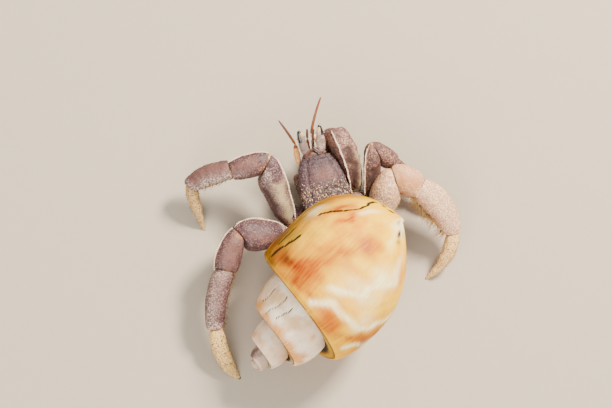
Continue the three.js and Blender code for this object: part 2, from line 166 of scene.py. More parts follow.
class Shape:
    """Points, faces and fields of one piece, gathered from closed parts."""

    def __init__(self):
        self.points, self.faces, self.fields, self.count = [], [], {}, 0

    def add(self, points, faces, **fields):
        """Takes in one closed part, turned to face out. Fields are four values at each point."""
        points = np.asarray(points, float).reshape(-1, 3)
        if signed_volume(points - points.mean(0), faces) < 0:
            faces = [corners[:, ::-1] for corners in faces]
        self.faces += [corners + self.count for corners in faces]
        self.points.append(points)
        for name, values in fields.items():
            self.fields.setdefault(name, []).append(np.asarray(values, float).reshape(len(points), -1))
        self.count += len(points)
        return self

    def build(self, name, material, slot, *nodes):
        """Makes the mesh object, lets it ride on the root body and hides the nodes it stands for."""
        points = (np.concatenate(self.points) - MIDDLE) * MM
        points[:, 2] = np.maximum(points[:, 2], 0)
        corners = np.concatenate([f.ravel() for f in self.faces])
        sizes = np.concatenate([np.full(len(f), f.shape[1]) for f in self.faces])
        mesh = bpy.data.meshes.new(name)
        mesh.vertices.add(len(points))
        mesh.vertices.foreach_set("co", points.astype(np.float32).ravel())
        mesh.loops.add(len(corners))
        mesh.loops.foreach_set("vertex_index", corners.astype(np.int32))
        mesh.polygons.add(len(sizes))
        mesh.polygons.foreach_set("loop_start", (np.cumsum(sizes) - sizes).astype(np.int32))
        mesh.polygons.foreach_set("use_smooth", np.ones(len(sizes), bool))
        mesh.update(calc_edges=True)
        for field, parts in self.fields.items():
            values = np.concatenate(parts).astype(np.float32)
            if values.shape[1] == 2:
                layer = mesh.uv_layers.new(name=field)
                layer.data.foreach_set("uv", values[corners].ravel())
            else:
                layer = mesh.color_attributes.new(field, "FLOAT_COLOR", "POINT")
                layer.data.foreach_set("color", values.ravel())
        if mesh.validate():
            raise RuntimeError(f"{name} had faces that don't hold together")
        piece = bpy.data.objects.new(name, mesh)
        bpy.context.scene.collection.objects.link(piece)
        mesh.materials.append(material)
        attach(piece, "root")
        if nodes:
            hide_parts(*nodes)
        return piece


# ---------------------------------------------------------------- shader building

class Wire:
    """One value in a node tree. Arithmetic on it adds Math nodes."""

    def __init__(self, tree, socket):
        self.tree, self.socket = tree, socket

    def _math(self, operation, other):
        made = self.tree.nodes.new("ShaderNodeMath")
        made.operation = operation
        feed(self.tree, made.inputs[0], self)
        feed(self.tree, made.inputs[1], other)
        return Wire(self.tree, made.outputs[0])

    def __add__(self, other):
        return self._math("ADD", other)

    def __sub__(self, other):
        return self._math("SUBTRACT", other)

    def __rsub__(self, other):
        return (self * -1) + other

    def __mul__(self, other):
        return self._math("MULTIPLY", other)

    def power(self, other):
        """This value raised to another."""
        return self._math("POWER", other)

    def step(self, low, high):
        """0 at low, 1 at high, and eased between."""
        made = self.tree.nodes.new("ShaderNodeMapRange")
        made.interpolation_type = "SMOOTHSTEP"
        for name, value in (("Value", self), ("From Min", low), ("From Max", high)):
            feed(self.tree, made.inputs[name], value)
        return Wire(self.tree, made.outputs["Result"])


def feed(tree, target, value):
    """Links a wire to a socket, or sets the socket's own value."""
    if isinstance(value, Wire):
        tree.links.new(value.socket, target)
    else:
        target.default_value = value


def node(tree, kind, output=0, settings=None, **inputs):
    """A new node with its settings and inputs, as the wire of one output."""
    made = tree.nodes.new(kind)
    for key, value in (settings or {}).items():
        setattr(made, key, value)
    for key, value in inputs.items():
        feed(tree, made.inputs[key.replace("_", " ")], value)
    return Wire(tree, made.outputs[output])


def mix(tree, amount, first, second):
    """Colour between two colours, by amount."""
    made = tree.nodes.new("ShaderNodeMix")
    made.data_type = "RGBA"
    for place, value in ((0, amount), (6, first), (7, second)):
        feed(tree, made.inputs[place], value)
    return Wire(tree, made.outputs[2])


def millimetres(tree):
    """Object coordinates in millimetres."""
    place = node(tree, "ShaderNodeTexCoord", "Object")
    return node(tree, "ShaderNodeVectorMath", 0, {"operation": "SCALE"}, Vector=place, Scale=1 / MM)


def noise(tree, vector, size, detail=3.0, roughness=0.5):
    """Noise from 0 to 1 with features of the given size in millimetres."""
    return node(tree, "ShaderNodeTexNoise", Vector=vector, Scale=1 / size, Detail=detail,
                Roughness=roughness)


def channels(tree, field):
    """The red, green, blue and alpha of a piece's field, as four wires."""
    made = tree.nodes.new("ShaderNodeAttribute")
    made.attribute_name = field
    parts = tree.nodes.new("ShaderNodeSeparateColor")
    tree.links.new(made.outputs["Color"], parts.inputs[0])
    return [Wire(tree, s) for s in (*parts.outputs[:3], made.outputs["Alpha"])]


def new_material(name, **constants):
    """A material with its Principled shader, whose uniform sockets are set to constants."""
    material = bpy.data.materials.new(name)
    material.use_nodes = True
    shader = material.node_tree.nodes["Principled BSDF"]
    for key, value in constants.items():
        shader.inputs[key.replace("_", " ")].default_value = value
    return material, material.node_tree, shader


def finish_material(tree, shader, colour, roughness, height=None, depth=0.1):
    """Wires colour, roughness and a bump whose full height is `depth` millimetres."""
    feed(tree, shader.inputs["Base Color"], colour)
    feed(tree, shader.inputs["Roughness"], roughness)
    if height is not None:
        bump = node(tree, "ShaderNodeBump", Strength=1.0, Distance=depth * MM, Height=height)
        tree.links.new(bump.socket, shader.inputs["Normal"])


def new_group(name, inputs, outputs):
    """An empty node group with named sockets: (name, socket type, default)."""
    group = bpy.data.node_groups.new(name, "ShaderNodeTree")
    for label, kind, default in inputs:
        socket = group.interface.new_socket(name=label, in_out="INPUT", socket_type=kind)
        if default is not None:
            socket.default_value = default
    for label, kind in outputs:
        group.interface.new_socket(name=label, in_out="OUTPUT", socket_type=kind)
    start = group.nodes.new("NodeGroupInput")
    end = group.nodes.new("NodeGroupOutput")
    return group, {s.name: Wire(group, s) for s in start.outputs if s.name}, end


SAND_GRAIN = 0.25
SAND_TONES = {"brown": (0.36, 0.20, 0.075, 1), "cream": (0.95, 0.68, 0.30, 1),
              "black": (0.045, 0.028, 0.022, 1)}


def granule_group():
    """Rounded grains of a crab's plate: the height of each, the valley round it, and a random
    tone that differs from grain to grain."""
    found = bpy.data.node_groups.get("plate_granules")
    if found:
        return found
    group, given, end = new_group(
        "plate_granules",
        [("Vector", "NodeSocketVector", None), ("Size", "NodeSocketFloat", 0.5)],
        [("Height", "NodeSocketFloat"), ("Valley", "NodeSocketFloat"), ("Tone", "NodeSocketFloat")])
    scale = given["Size"].power(-1)
    cells = group.nodes.new("ShaderNodeTexVoronoi")
    feed(group, cells.inputs["Vector"], given["Vector"])
    feed(group, cells.inputs["Scale"], scale)
    far = Wire(group, cells.outputs["Distance"])
    tone = node(group, "ShaderNodeSeparateColor", Color=Wire(group, cells.outputs["Color"]))
    feed(group, end.inputs["Height"], far.step(0.62, 0.08))
    feed(group, end.inputs["Valley"], far.step(0.30, 0.62))
    feed(group, end.inputs["Tone"], tone)
    return group


def sand_group():
    """Dusting of sand: where grains sit, and the colour of each."""
    found = bpy.data.node_groups.get("sand_dust")
    if found:
        return found
    group, given, end = new_group(
        "sand_dust",
        [("Vector", "NodeSocketVector", None), ("Amount", "NodeSocketFloat", 0.5)],
        [("Mask", "NodeSocketFloat"), ("Color", "NodeSocketColor"), ("Height", "NodeSocketFloat")])
    cells = group.nodes.new("ShaderNodeTexVoronoi")
    feed(group, cells.inputs["Vector"], given["Vector"])
    feed(group, cells.inputs["Scale"], 1 / SAND_GRAIN)
    chance = group.nodes.new("ShaderNodeSeparateColor")
    group.links.new(cells.outputs["Color"], chance.inputs[0])
    red, green, blue = (Wire(group, s) for s in chance.outputs[:3])
    far = Wire(group, cells.outputs["Distance"])
    here = (given["Amount"] - red).step(-0.03, 0.05)
    pale = mix(group, green.step(0.2, 0.8), SAND_TONES["brown"], SAND_TONES["cream"])
    grain = mix(group, blue.step(0.56, 0.62), pale, SAND_TONES["black"])
    round_grain = far.step(0.55, 0.35)
    feed(group, end.inputs["Mask"], here * round_grain)
    feed(group, end.inputs["Color"], grain)
    feed(group, end.inputs["Height"], here * far.step(0.6, 0.1))
    return group


def use_group(tree, group, **inputs):
    """Places a node group and gives its outputs by name."""
    made = tree.nodes.new("ShaderNodeGroup")
    made.node_tree = group
    for key, value in inputs.items():
        feed(tree, made.inputs[key], value)
    return {s.name: Wire(tree, s) for s in made.outputs}


# ---------------------------------------------------------------- the whelk shell

WHELK = {
    "apex": np.array([25.7, 31.7, 8.8]), "heading": math.radians(207), "pitch": math.radians(9),
    "length": 46.4, "shoulder_radius": 15.4, "shoulder_height": 19.0, "columella": 2.9,
    "channel": 0.055, "whorls": 4,
}
AXIS = np.array([math.cos(WHELK["heading"]) * math.cos(WHELK["pitch"]),
                 math.sin(WHELK["heading"]) * math.cos(WHELK["pitch"]), math.sin(WHELK["pitch"])])
SIDE = np.array([-math.sin(WHELK["heading"]), math.cos(WHELK["heading"]), 0.0])
TOP = np.cross(AXIS, SIDE)

# Fields are laid out on the unrolled shell. The turn is counted back from the lip, times
# 100, so that 1 is about a millimetre of the body whorl, and the height is along the axis.
# Ovals: turn x 100, height, half widths, strength. Lines: corners, half width, strength.
ORANGE = [(-17, 22.6, 5.0, 2.6, 1.0), (-18.6, 26.2, 2.4, 4.2, 0.75), (-21, 30.4, 2.6, 2.4, 0.75),
          (-23.8, 35.6, 3.0, 2.8, 0.9), (-10.2, 37.6, 1.4, 3.4, 0.9), (-14.4, 37.2, 0.9, 3.2, 0.85),
          (-3, 23.0, 1.5, 4.5, 0.7), (-8, 21.4, 2.2, 1.6, 0.8), (-28.8, 18.6, 4.6, 1.9, 0.65),
          (-33.6, 18.0, 3.6, 1.4, 0.7), (-41.6, 21.0, 3.6, 1.7, 1.0), (-38.2, 19.4, 2.4, 1.1, 0.7),
          (-20, 19.4, 5.0, 0.9, 0.7), (-46.5, 23.8, 3.0, 2.4, 0.9), (-58, 26, 5, 5, 0.7),
          (-66, 20, 5, 3, 0.8), (-75, 30, 6, 5, 0.7), (-86, 22, 5, 4, 0.6), (-56, 38, 5, 4, 0.5)]
RED = [(-11.6, 21.6, 1.9, 0.8, 0.55), (-14.6, 21.4, 4.2, 1.5, 1.0), (-17.2, 20.0, 2.0, 0.9, 0.6),
       (-42.2, 20.8, 1.8, 0.7, 0.5), (-67, 20, 3, 1.5, 0.6), (-77, 31, 2.5, 3, 0.4)]
BROWN = [(-26.2, 44.9, 1.5, 0.7, 1.3), (-29.8, 42.8, 1.2, 0.9, 1.3), (-33.4, 43.8, 0.6, 0.6, 1.0),
         (-11.8, 21.7, 1.3, 0.75, 0.9), (-10.6, 22.6, 0.8, 0.8, 0.5)]
WHITE = [(-30, 27.5, 5.0, 2.6, 0.55), (-28.5, 44.0, 5.0, 1.8, 1.0), (-32.2, 32.4, 2.8, 2.6, 0.95),
         (-35.6, 36.0, 2.0, 3.4, 0.8), (-6.2, 33.6, 1.6, 2.2, 0.9), (-15.2, 41.2, 1.2, 1.4, 0.7),
         (-30.6, 26.0, 2.4, 1.0, 0.35), (-37.2, 24.2, 2.6, 1.8, 0.5), (-28.5, 40.0, 1.4, 2.0, 0.5)]
WHITE_LINES = [
    ([(-24.6, 23.8), (-29.2, 25.8), (-32.4, 30.6), (-36.4, 34.8)], 1.1, 0.95),
    ([(-23.6, 18.4), (-27.4, 21.8), (-31.0, 21.7), (-37.0, 21.8), (-40.6, 25.6), (-45.5, 30)], 0.8, 1.0),
    ([(-39.8, 17.2), (-42.8, 19.9), (-47, 22.6)], 0.6, 0.95)]
GOLD = [(-33, 33, 4.0, 7.0, 0.45), (-19, 43.2, 6.0, 2.2, 0.95), (-29, 39.6, 3.6, 2.2, 0.9),
        (-6, 43.6, 4.0, 2.4, 0.8),
        (-26.4, 40.8, 3.4, 2.2, 0.95), (-28.2, 37.9, 0.9, 2.6, 0.9), (-9.6, 44.6, 4.0, 1.7, 0.9),
        (-21.4, 29.8, 1.8, 2.0, 0.6), (-36.4, 42.0, 6.0, 2.0, 0.55), (-43.4, 33, 2.4, 5, 0.5),
        (-13, 23.6, 2.0, 1.6, 0.5)]
GOLD_LINES = [([(-34.4, 24.6), (-38.6, 28.2), (-43, 32.6)], 0.8, 0.9),
              ([(-4.6, 27), (-5.0, 31), (-8.4, 35.6)], 0.7, 0.7)]
CRACKS = [
    ([(-6.5, 20.4), (-7.2, 22.0), (-9.4, 25.6), (-9.9, 27.4)], 0.30, 1.0),
    ([(-8.6, 33.4), (-9.9, 35.6), (-11.9, 37.9), (-12.9, 40.6), (-11.6, 42.3), (-6.4, 44.6)], 0.24, 1.0),
    ([(-5.6, 23.0), (-6.2, 26.1), (-6.2, 28.4)], 0.26, 0.75),
    ([(-4.6, 20.6), (-4.4, 24.2), (-4.6, 28.6), (-5.2, 31.5)], 0.22, 0.6),
    ([(-3.1, 21.0), (-2.8, 25.6), (-3.4, 30.4)], 0.24, 0.5),
    ([(-8.4, 24.0), (-8.7, 27.6), (-8.0, 30.6)], 0.2, 0.45),
    ([(-1.6, 22.4), (-1.4, 28.4), (-2.2, 33.4)], 0.22, 0.5),
    ([(-5.1, 45.4), (-10.6, 45.0)], 0.3, 0.6),
    ([(-12.2, 45.4), (-15.4, 45.6)], 0.35, 0.8),
    ([(-106.2, 12.2), (-108.3, 13.0), (-109.0, 14.5), (-109.0, 16.0)], 0.20, 0.8),
    ([(-111.8, 10.6), (-112.8, 11.6), (-115.3, 13.6), (-115.6, 16.3)], 0.20, 0.85),
    ([(-117.4, 11.4), (-118.3, 12.4), (-119.4, 14.0), (-119.9, 15.2)], 0.20, 0.85),
    ([(-127.8, 9.4), (-130, 11.2), (-131.4, 13.0)], 0.16, 0.5),
    ([(-71, 22), (-72, 30), (-70.6, 38)], 0.25, 0.5), ([(-62, 18), (-63, 26)], 0.22, 0.4)]
SPIRE_ORANGE = [(-105, 10.9, 3.6, 1.3, 0.9), (-112, 9.9, 6.5, 1.1, 0.95), (-121, 9.0, 6, 1.2, 0.95),
                (-130, 8.7, 7, 1.2, 0.95), (-139, 9.0, 5, 1.4, 1.0), (-133.2, 14.2, 1.2, 1.0, 0.6),
                (-119, 10.6, 1.6, 1.1, 0.5), (-203, 6.4, 5, 1.0, 0.7), (-214, 5.9, 6, 0.7, 0.6),
                (-238, 7.2, 8, 2.0, 0.55), (-160, 11, 12, 3, 0.6), (-185, 10, 10, 3, 0.5)]
# The lip band: the shell's olive-brown colour along the lip, deepened with painted shade.
LIP_SHADE = [(-4.5, 25.5, 6.0, 7.0, 0.95), (-3.0, 36, 4.4, 8.0, 0.8), (-5.5, 19.8, 6, 1.0, 0.8),
             (-2.5, 43, 3.5, 3.0, 0.6), (-31.5, 41.0, 1.3, 0.7, 0.8)]

# The wall is rounded over the last half of its thickness before the lip's edge. The cracks
# are painted wider than their rows say, and the first ones are stepped as well.
WHELK_COLUMNS = 72
LIP_ROUNDING = 0.5 / (FULL_TURN * WHELK["shoulder_radius"])
CRACK_WIDTH = 1.5
STEPPED_CRACKS = 12
STEP_DEPTH = 0.16
FLAME_STRENGTH = 1.25
SPIRE_FROM, SPIRE_FADE = 0.93, 0.14
CANAL_FROM, CANAL_FADE = 43.4, 1.8
TIP = {"radius": 1.26, "height": 1.95, "half_height": 0.8}
PILLAR = {"from": 15.0, "end": 0.12, "foot": 43.2, "foot_rise": 0.55, "marks": 44.6}


def shoulder_radius(turn):
    """Growth of the shoulder's radius: 15.4 exp(0.56 t - 0.035 t²) at t turns from the lip."""
    return WHELK["shoulder_radius"] * np.exp(0.56 * turn - 0.035 * turn * turn)


def shoulder_height(turn):
    """Growth of the shoulder's distance from the apex: 19 exp(0.57 t - 0.04 t²)."""
    return WHELK["shoulder_height"] * np.exp(0.57 * turn - 0.04 * turn * turn)


def whorl_radius(turn, height):
    """Radius of a whorl's outside. It swells from the shoulder to its widest place, then
    closes as (1 - s^p)^q, where s runs from there to the whorl's end."""
    turn, height = np.broadcast_arrays(np.asarray(turn, float), np.asarray(height, float))
    back = np.clip(-turn, 0, 1)
    half = np.minimum(1, 2 * back)
    radius, start = shoulder_radius(turn), shoulder_height(turn)
    widest = start + radius * (0.45 + 0.45 * half)
    most = radius * (1.045 + 0.235 * back ** 0.72)
    rise = 1 - (1 - np.clip((height - start) / (widest - start), 0, 1)) ** 2.2
    end = WHELK["length"] * np.exp(0.6 * np.minimum(0, turn + 0.5))
    s = np.clip((height - widest) / (end - widest), 0, 1)
    fall = most * (1 - s ** (3 - 0.8 * half)) ** (0.5 + 0.5 * half)
    return np.where(height <= widest, radius + (most - radius) * rise, fall)


def pillar_radius(height):
    """Radius of the pillar on the axis: 2.9 (1 - 0.55 (height/length)³)."""
    return WHELK["columella"] * (1 - 0.55 * (height / WHELK["length"]) ** 3)


def whelk_point(turn, height, radius):
    """Place of a point by its height on the axis, its radius, and the angle of its turn."""
    angle = -FULL_TURN * turn
    across = SIDE * np.cos(angle)[..., None] + TOP * np.sin(angle)[..., None]
    return WHELK["apex"] + AXIS * height[..., None] + across * radius[..., None]


def whorl_outline(turn, columns):
    """Outside of a whorl at each turn: out of the channel and over the shoulder on a cubic
    Bezier curve, then down the wall to the canal, with its points closer at the end."""
    radius, start = shoulder_radius(turn), shoulder_height(turn)
    channel = start + WHELK["channel"] * radius
    inner = whorl_radius(turn - 1, channel)
    rim = start + 0.09 * radius
    bend = [(channel, inner - 0.03 * radius), (start + 0.01 * radius, inner + 0.25 * (radius - inner)),
            (start - 0.03 * radius, 0.985 * radius), (rim, whorl_radius(turn, rim))]
    v = np.linspace(0, 1, columns // 5)[None, :-1]
    weights = [(1 - v) ** 3, 3 * v * (1 - v) ** 2, 3 * v * v * (1 - v), v ** 3]
    over = [sum(w * corner[k] for w, corner in zip(weights, bend)) for k in (0, 1)]
    share = np.sin(0.5 * math.pi * np.linspace(0, 1, columns - v.shape[1]))[None, :]
    notch = 1.4 * np.exp(turn / 0.035)
    end = WHELK["length"] * np.exp(0.6 * np.minimum(0, turn + 0.5)) - notch
    height = rim + (end - rim) * share
    wall = np.maximum(whorl_radius(turn, height), 0.75 * pillar_radius(height))
    return np.concatenate([over[0], height], 1), np.concatenate([over[1], wall], 1)


def whelk_turns():
    """Turns of the sections: closer near the lip and where the spire is cracked."""
    runs = [(-3.72, -1.36, 0.0085), (-1.36, -1.0, 0.0045), (-1.0, -0.5, 0.007), (-0.5, -0.17, 0.0036),
            (-0.17, 0.0, 0.0019)]
    steps = [np.arange(a, b - 1e-9, step) for a, b, step in runs]
    return np.concatenate([*steps, [0.0]])


def whelk_relief(turn, height):
    """Growth lines, dents and steps on the outside, in millimetres."""
    size = shoulder_radius(turn) / WHELK["shoulder_radius"]
    place = np.stack([turn * 100 + 0.35 * np.sin(height / 3.1), height * 0.07], -1)
    fine = 0.022 * waves(place, 1.1, 11) + 0.035 * waves(place, 3.2, 12)
    broad = 0.10 * waves(np.stack([turn * 100, height], -1), 14, 13)
    step = STEP_DEPTH * sum(strength * stroke(turn * 100, height, line, 0.55)
                            for line, _, strength in CRACKS[:STEPPED_CRACKS])
    near_lip = np.exp(turn / 0.05)
    wrinkle = 0.07 * near_lip * np.sin(turn * 100 * 3.4 + 1.5 * np.sin(height / 4))
    return size * (fine + broad - 0.12 + wrinkle) - step


def lip_edge(turns, height):
    """Turns of the sections after the last ones are drawn back to a wavy lip."""
    edge = 0.004 + 0.003 * waves(np.stack([height, 0 * height], -1), 5, 14)
    return turns - np.abs(edge) * np.exp(turns / 0.012)


def wall_sides(turn, turns, height, radius, wall):
    """Heights and radii of the wall's two sides. The outside carries the relief, which fades at
    the seams. The inside lies a wall's thickness behind, along the outline's normal, and the two
    sides close on their middle at the lip, as a half circle does."""
    slope_h, slope_r = np.gradient(height, axis=1), np.gradient(radius, axis=1)
    steep = np.hypot(slope_h, slope_r) + 1e-9
    size = shoulder_radius(turns) / WHELK["shoulder_radius"]
    thick = wall * size * (1 - 0.25 * np.exp(turns / 0.03))
    across = np.linspace(0, 1, height.shape[1])
    keep = (ease(across * 10) * ease((1 - across) * 8))[None, :]
    outside_h, outside_r = height, radius + whelk_relief(turns, height) * keep
    inside_h = height + thick * slope_r / steep
    inside_r = np.maximum(radius - thick * slope_h / steep, 0.3)
    half_circle = np.sqrt(np.clip(1 - (1 + turn / LIP_ROUNDING) ** 2, 0.03, 1))
    rounding = np.where(turn > -LIP_ROUNDING, half_circle, 1.0)
    middle_h, middle_r = (outside_h + inside_h) / 2, (outside_r + inside_r) / 2
    heights = [middle_h + (side - middle_h) * rounding for side in (outside_h, inside_h)]
    radii = [middle_r + (side - middle_r) * rounding for side in (outside_r, inside_r)]
    return there_and_back(*heights), there_and_back(*radii)


def there_and_back(outside, inside):
    """One side's columns followed by the other's in reverse, so that they form a loop."""
    return np.concatenate([outside, inside[:, ::-1]], 1)


def make_whelk(settings, material):
    """A wall with two sides, carried along the growth curve from the tip to the lip."""
    turn = whelk_turns()[:, None]
    height, radius = whorl_outline(turn, WHELK_COLUMNS)
    turns = lip_edge(np.broadcast_to(turn, height.shape), height)
    both_h, both_r = wall_sides(turn, turns, height, radius, settings.wall / MM)
    both_t = there_and_back(turns, turns)
    inside = there_and_back(np.zeros_like(turns), np.ones_like(turns))
    points = whelk_point(both_t, both_h, both_r)
    rows, loop = both_h.shape
    ring = np.arange(WHELK_COLUMNS)
    bridge = np.stack([ring[:-1], ring[1:], loop - 2 - ring[:-1], loop - 1 - ring[:-1]], -1)
    faces = [grid_quads(rows, loop), bridge[:, ::-1], bridge + (rows - 1) * loop]
    growth = np.stack([both_t, both_h / WHELK["length"]], -1)
    shape = Shape().add(points, faces, growth=growth, **whelk_fields(both_t * 100, both_h, both_r, inside))
    add_whelk_tip(shape)
    add_pillar(shape)
    return shape.build("whelk_shell", material, "whelk_shell", "shell")


def whelk_fields(x, y, radius, inside):
    """Where each colour lies on the unrolled shell: x is the turn x 100, y the height. Flames:
    orange, red, white, gold. Ages: spire, darkening along the cracks and sutures, inside, brown marks.
    Tips: old tip, canal, and the darker band by the lip, partly its own olive-brown colour and partly painted
    shade."""
    outer = 1 - inside
    soft = np.stack([x * 0.5, y], -1)
    wx = x + 0.6 * waves(soft, 4, 21)
    wy = y + 0.5 * waves(soft, 4, 22)
    orange = np.clip(FLAME_STRENGTH * spots(wx, wy, ORANGE + SPIRE_ORANGE), 0, 1)
    red = spots(wx, wy, RED)
    white, gold = spots(wx, wy, WHITE), spots(wx, wy, GOLD)
    for field, lines in ((white, WHITE_LINES), (gold, GOLD_LINES)):
        for corners, width, strength in lines:
            np.maximum(field, strength * stroke(wx, wy, corners, width), out=field)
    cracks = np.zeros_like(x)
    jagged = x + 0.12 * waves(soft, 1.5, 23)
    for corners, width, strength in CRACKS:
        np.maximum(cracks, strength * stroke(jagged, y, corners, CRACK_WIDTH * width), out=cracks)
    turn = x / 100
    spire = ease((-turn - SPIRE_FROM) / SPIRE_FADE)
    tip = 0.25 * ease((-turn - 1.9) / 0.3) + 0.75 * ease((-turn - 2.5) / 0.6)
    canal = ease((y - CANAL_FROM) / CANAL_FADE) * ease((-turn - 0.2) / 0.12)
    dark_lines = np.maximum(cracks, 0.8 * suture_darkening(turn, y, radius, spire))
    fields = {"flames": (orange, red, white, gold),
              "ages": (spire, dark_lines, 1, spots(x, y, BROWN)),
              "tips": (tip, canal, spots(wx, wy, LIP_SHADE), 0)}
    stacked = {name: np.stack([part * outer for part in parts], -1) for name, parts in fields.items()}
    stacked["ages"][..., 2] = inside
    return stacked


def suture_darkening(turn, height, radius, spire):
    """Darkening in the channel under the shoulder, and on the spire along the next whorl's edge."""
    own = shoulder_radius(turn)
    depth = 0.035 * own
    under = np.exp(-((height - shoulder_height(turn) - depth) / depth) ** 2) * (radius < 0.95 * own)
    next_channel = shoulder_height(turn + 1) + WHELK["channel"] * shoulder_radius(turn + 1)
    size = own / WHELK["shoulder_radius"]
    return np.maximum(under, spire * np.exp(-np.abs(height - next_channel) / (0.55 * size + 0.1)))


def add_whelk_tip(shape):
    """The first whorl's blunt dome, a flattened ball on the axis."""
    points, faces = ball(14, 32)
    x, y, z = points.T[..., None]
    middle = WHELK["apex"] + AXIS * TIP["height"]
    dome = middle - TIP["half_height"] * AXIS * z + TIP["radius"] * (SIDE * x + TOP * y)
    count = len(points)
    shape.add(dome, faces, growth=np.tile([-3.9, 0.03], (count, 1)), flames=np.zeros((count, 4)),
              ages=np.tile([1.0, 0.25, 0.0, 0.0], (count, 1)), tips=np.tile([1.0, 0, 0, 0], (count, 1)))


def add_pillar(shape):
    """The pillar on the axis, with two low folds that wind round it and a raised band at its foot."""
    rows, columns = 90, 40
    height = np.linspace(PILLAR["from"], WHELK["length"] - PILLAR["end"], rows)[:, None]
    angle = np.linspace(0, FULL_TURN, columns, endpoint=False)[None, :]
    fold = 1 + 0.07 * np.cos(2 * angle - 0.55 * height)
    foot = PILLAR["foot_rise"] * np.exp(-((height - PILLAR["foot"]) / 1.6) ** 2)
    close = np.sqrt(np.clip((WHELK["length"] - height) / 1.2, 0.02, 1))
    radius = (pillar_radius(height) * fold + foot) * close
    both_h = np.broadcast_to(height, radius.shape)
    grid = whelk_point(-angle / FULL_TURN + 0 * height, both_h, radius).reshape(-1, 3)
    ends = WHELK["apex"] + AXIS * np.array([[PILLAR["from"] - 0.2], [WHELK["length"] - 0.05]])
    count = rows * columns + 2
    marks = np.exp(-((both_h - PILLAR["marks"]) / 0.5) ** 2) * (np.cos(3 * angle + 1.2) > 0.2)
    marks = np.concatenate([marks.ravel(), [0, 0]])
    canal = np.concatenate([ease((both_h - 41) / 2).ravel(), [0, 1]])
    zero = np.zeros(count)
    shape.add(np.concatenate([grid, ends]), tube_faces(rows, columns),
              growth=np.tile([-0.4, 0.9], (count, 1)), flames=np.zeros((count, 4)),
              ages=np.stack([zero, marks, 1 - canal, zero], -1), tips=np.stack([zero, canal, zero, zero], -1))


WHELK_TONES = {
    "streak": (0.50, 0.17, 0.006, 1), "age_warm": (0.88, 0.66, 0.45, 1), "age_white": (0.98, 0.85, 0.68, 1),
    "age_grey": (0.66, 0.46, 0.33, 1), "age_orange": (0.62, 0.33, 0.06, 1),
    "spire_flame": (0.62, 0.24, 0.02, 1), "brown": (0.075, 0.018, 0.008, 1),
    "lip": (0.105, 0.040, 0.003, 1), "tip_lilac": (0.13, 0.08, 0.075, 1),
    "tip_pale": (0.50, 0.35, 0.26, 1), "canal": (0.95, 0.80, 0.46, 1), "fleck": (0.22, 0.11, 0.03, 1),
    "dark_lines": (0.020, 0.013, 0.004, 1), "inside": (0.80, 0.55, 0.34, 1), "inside_pale": (0.92, 0.74, 0.52, 1),
}


def growth_noise(tree, along, up, roughness):
    """Noise stretched on the unrolled shell: how often it changes in one turn and one length."""
    growth = node(tree, "ShaderNodeUVMap", 0, {"uv_map": "growth"})
    place = node(tree, "ShaderNodeMapping", Vector=growth, Scale=(along, up, 1.0))
    return node(tree, "ShaderNodeTexNoise", Vector=place, Scale=1.0, Detail=4.0, Roughness=roughness)


def whelk_material(settings):
    """Worn shell: cream, with orange flames and white zigzags broken up along the growth
    lines, dark cracks, a grey spire and a smooth pale inside."""
    material, tree, shader = new_material("whelk_shell", Coat_Weight=0.02, Coat_Roughness=0.3,
                                          Specular_IOR_Level=0.06)
    tones = WHELK_TONES
    streak = growth_noise(tree, 170.0, 9.0, 0.6)
    drift = growth_noise(tree, 15.0, 8.0, 0.55)
    place = millimetres(tree)
    fleck = noise(tree, place, 0.5, 3.0)
    patchy = noise(tree, place, 5.0, 4.0)
    orange, red, white, gold = channels(tree, "flames")
    spire, dark_lines, inside, brown = channels(tree, "ages")
    tip, canal, lip, _ = channels(tree, "tips")
    breakup = streak.step(0.32, 0.66)
    colour = mix(tree, drift.step(0.28, 0.72), tuple(settings.cream), tuple(settings.honey))
    colour = mix(tree, streak.step(0.5, 0.72) * 0.35, colour, tones["streak"])
    age = mix(tree, drift.step(0.38, 0.62), tones["age_warm"], tones["age_white"])
    age = mix(tree, patchy.step(0.5, 0.7) * 0.5, age, tones["age_grey"])
    age = mix(tree, patchy.step(0.46, 0.62) * drift.step(0.35, 0.6) * 0.6, age, tones["age_orange"])
    colour = mix(tree, spire, colour, age)
    colour = mix(tree, gold * (breakup * 0.4 + 0.6), colour, tuple(settings.gold))
    warm = mix(tree, spire, tuple(settings.orange), tones["spire_flame"])
    colour = mix(tree, orange * (breakup * 0.35 + 0.65), colour, warm)
    colour = mix(tree, white * (breakup * 0.3 + 0.7), colour, tuple(settings.white))
    colour = mix(tree, red * (breakup * 0.4 + 0.7), colour, tuple(settings.flame))
    colour = mix(tree, brown, colour, tones["brown"])
    # Lip band: olive-brown colour deepened with painted shade.
    colour = mix(tree, lip * (streak * 0.5 + 0.7), colour, tones["lip"])
    lilac = mix(tree, patchy.step(0.42, 0.6), tones["tip_lilac"], tones["tip_pale"])
    colour = mix(tree, tip, colour, lilac)
    colour = mix(tree, canal * patchy.step(0.3, 0.55), colour, tones["canal"])
    colour = mix(tree, fleck.step(0.62, 0.75) * 0.18, colour, tones["fleck"])
    # Darker along the cracks, in the suture channel, and on the spire by the next whorl's edge.
    colour = mix(tree, (dark_lines * (fleck * 0.4 + 0.80)).step(0.25, 0.75), colour, tones["dark_lines"])
    colour = mix(tree, inside, colour, mix(tree, drift, tones["inside"], tones["inside_pale"]))
    rough = (spire * 0.14 + 0.40 + patchy.step(0.4, 0.7) * 0.12) - inside * 0.14
    height = streak * 0.55 + fleck * 0.2 + patchy * 0.25 - dark_lines * 0.8
    finish_material(tree, shader, colour, rough, height, 0.07)
    return material


# ---------------------------------------------------------------- moulded plates

# Grain sizes are in millimetres. The hash turns the place of a cube into three shares of it.
PLATE_GRAIN = 0.55
SHIELD_GRAIN = 0.5
GRAIN_EDGE = 0.62
HASH_STEPS = np.array([127.0, 311.0, 741.0])
HASH_WAVES = np.array([12.9898, 78.233, 37.719])
PLATE = {"bend": (0, 0, 0), "dorsal": UP, "square": 2.3, "blunt": 0.45}


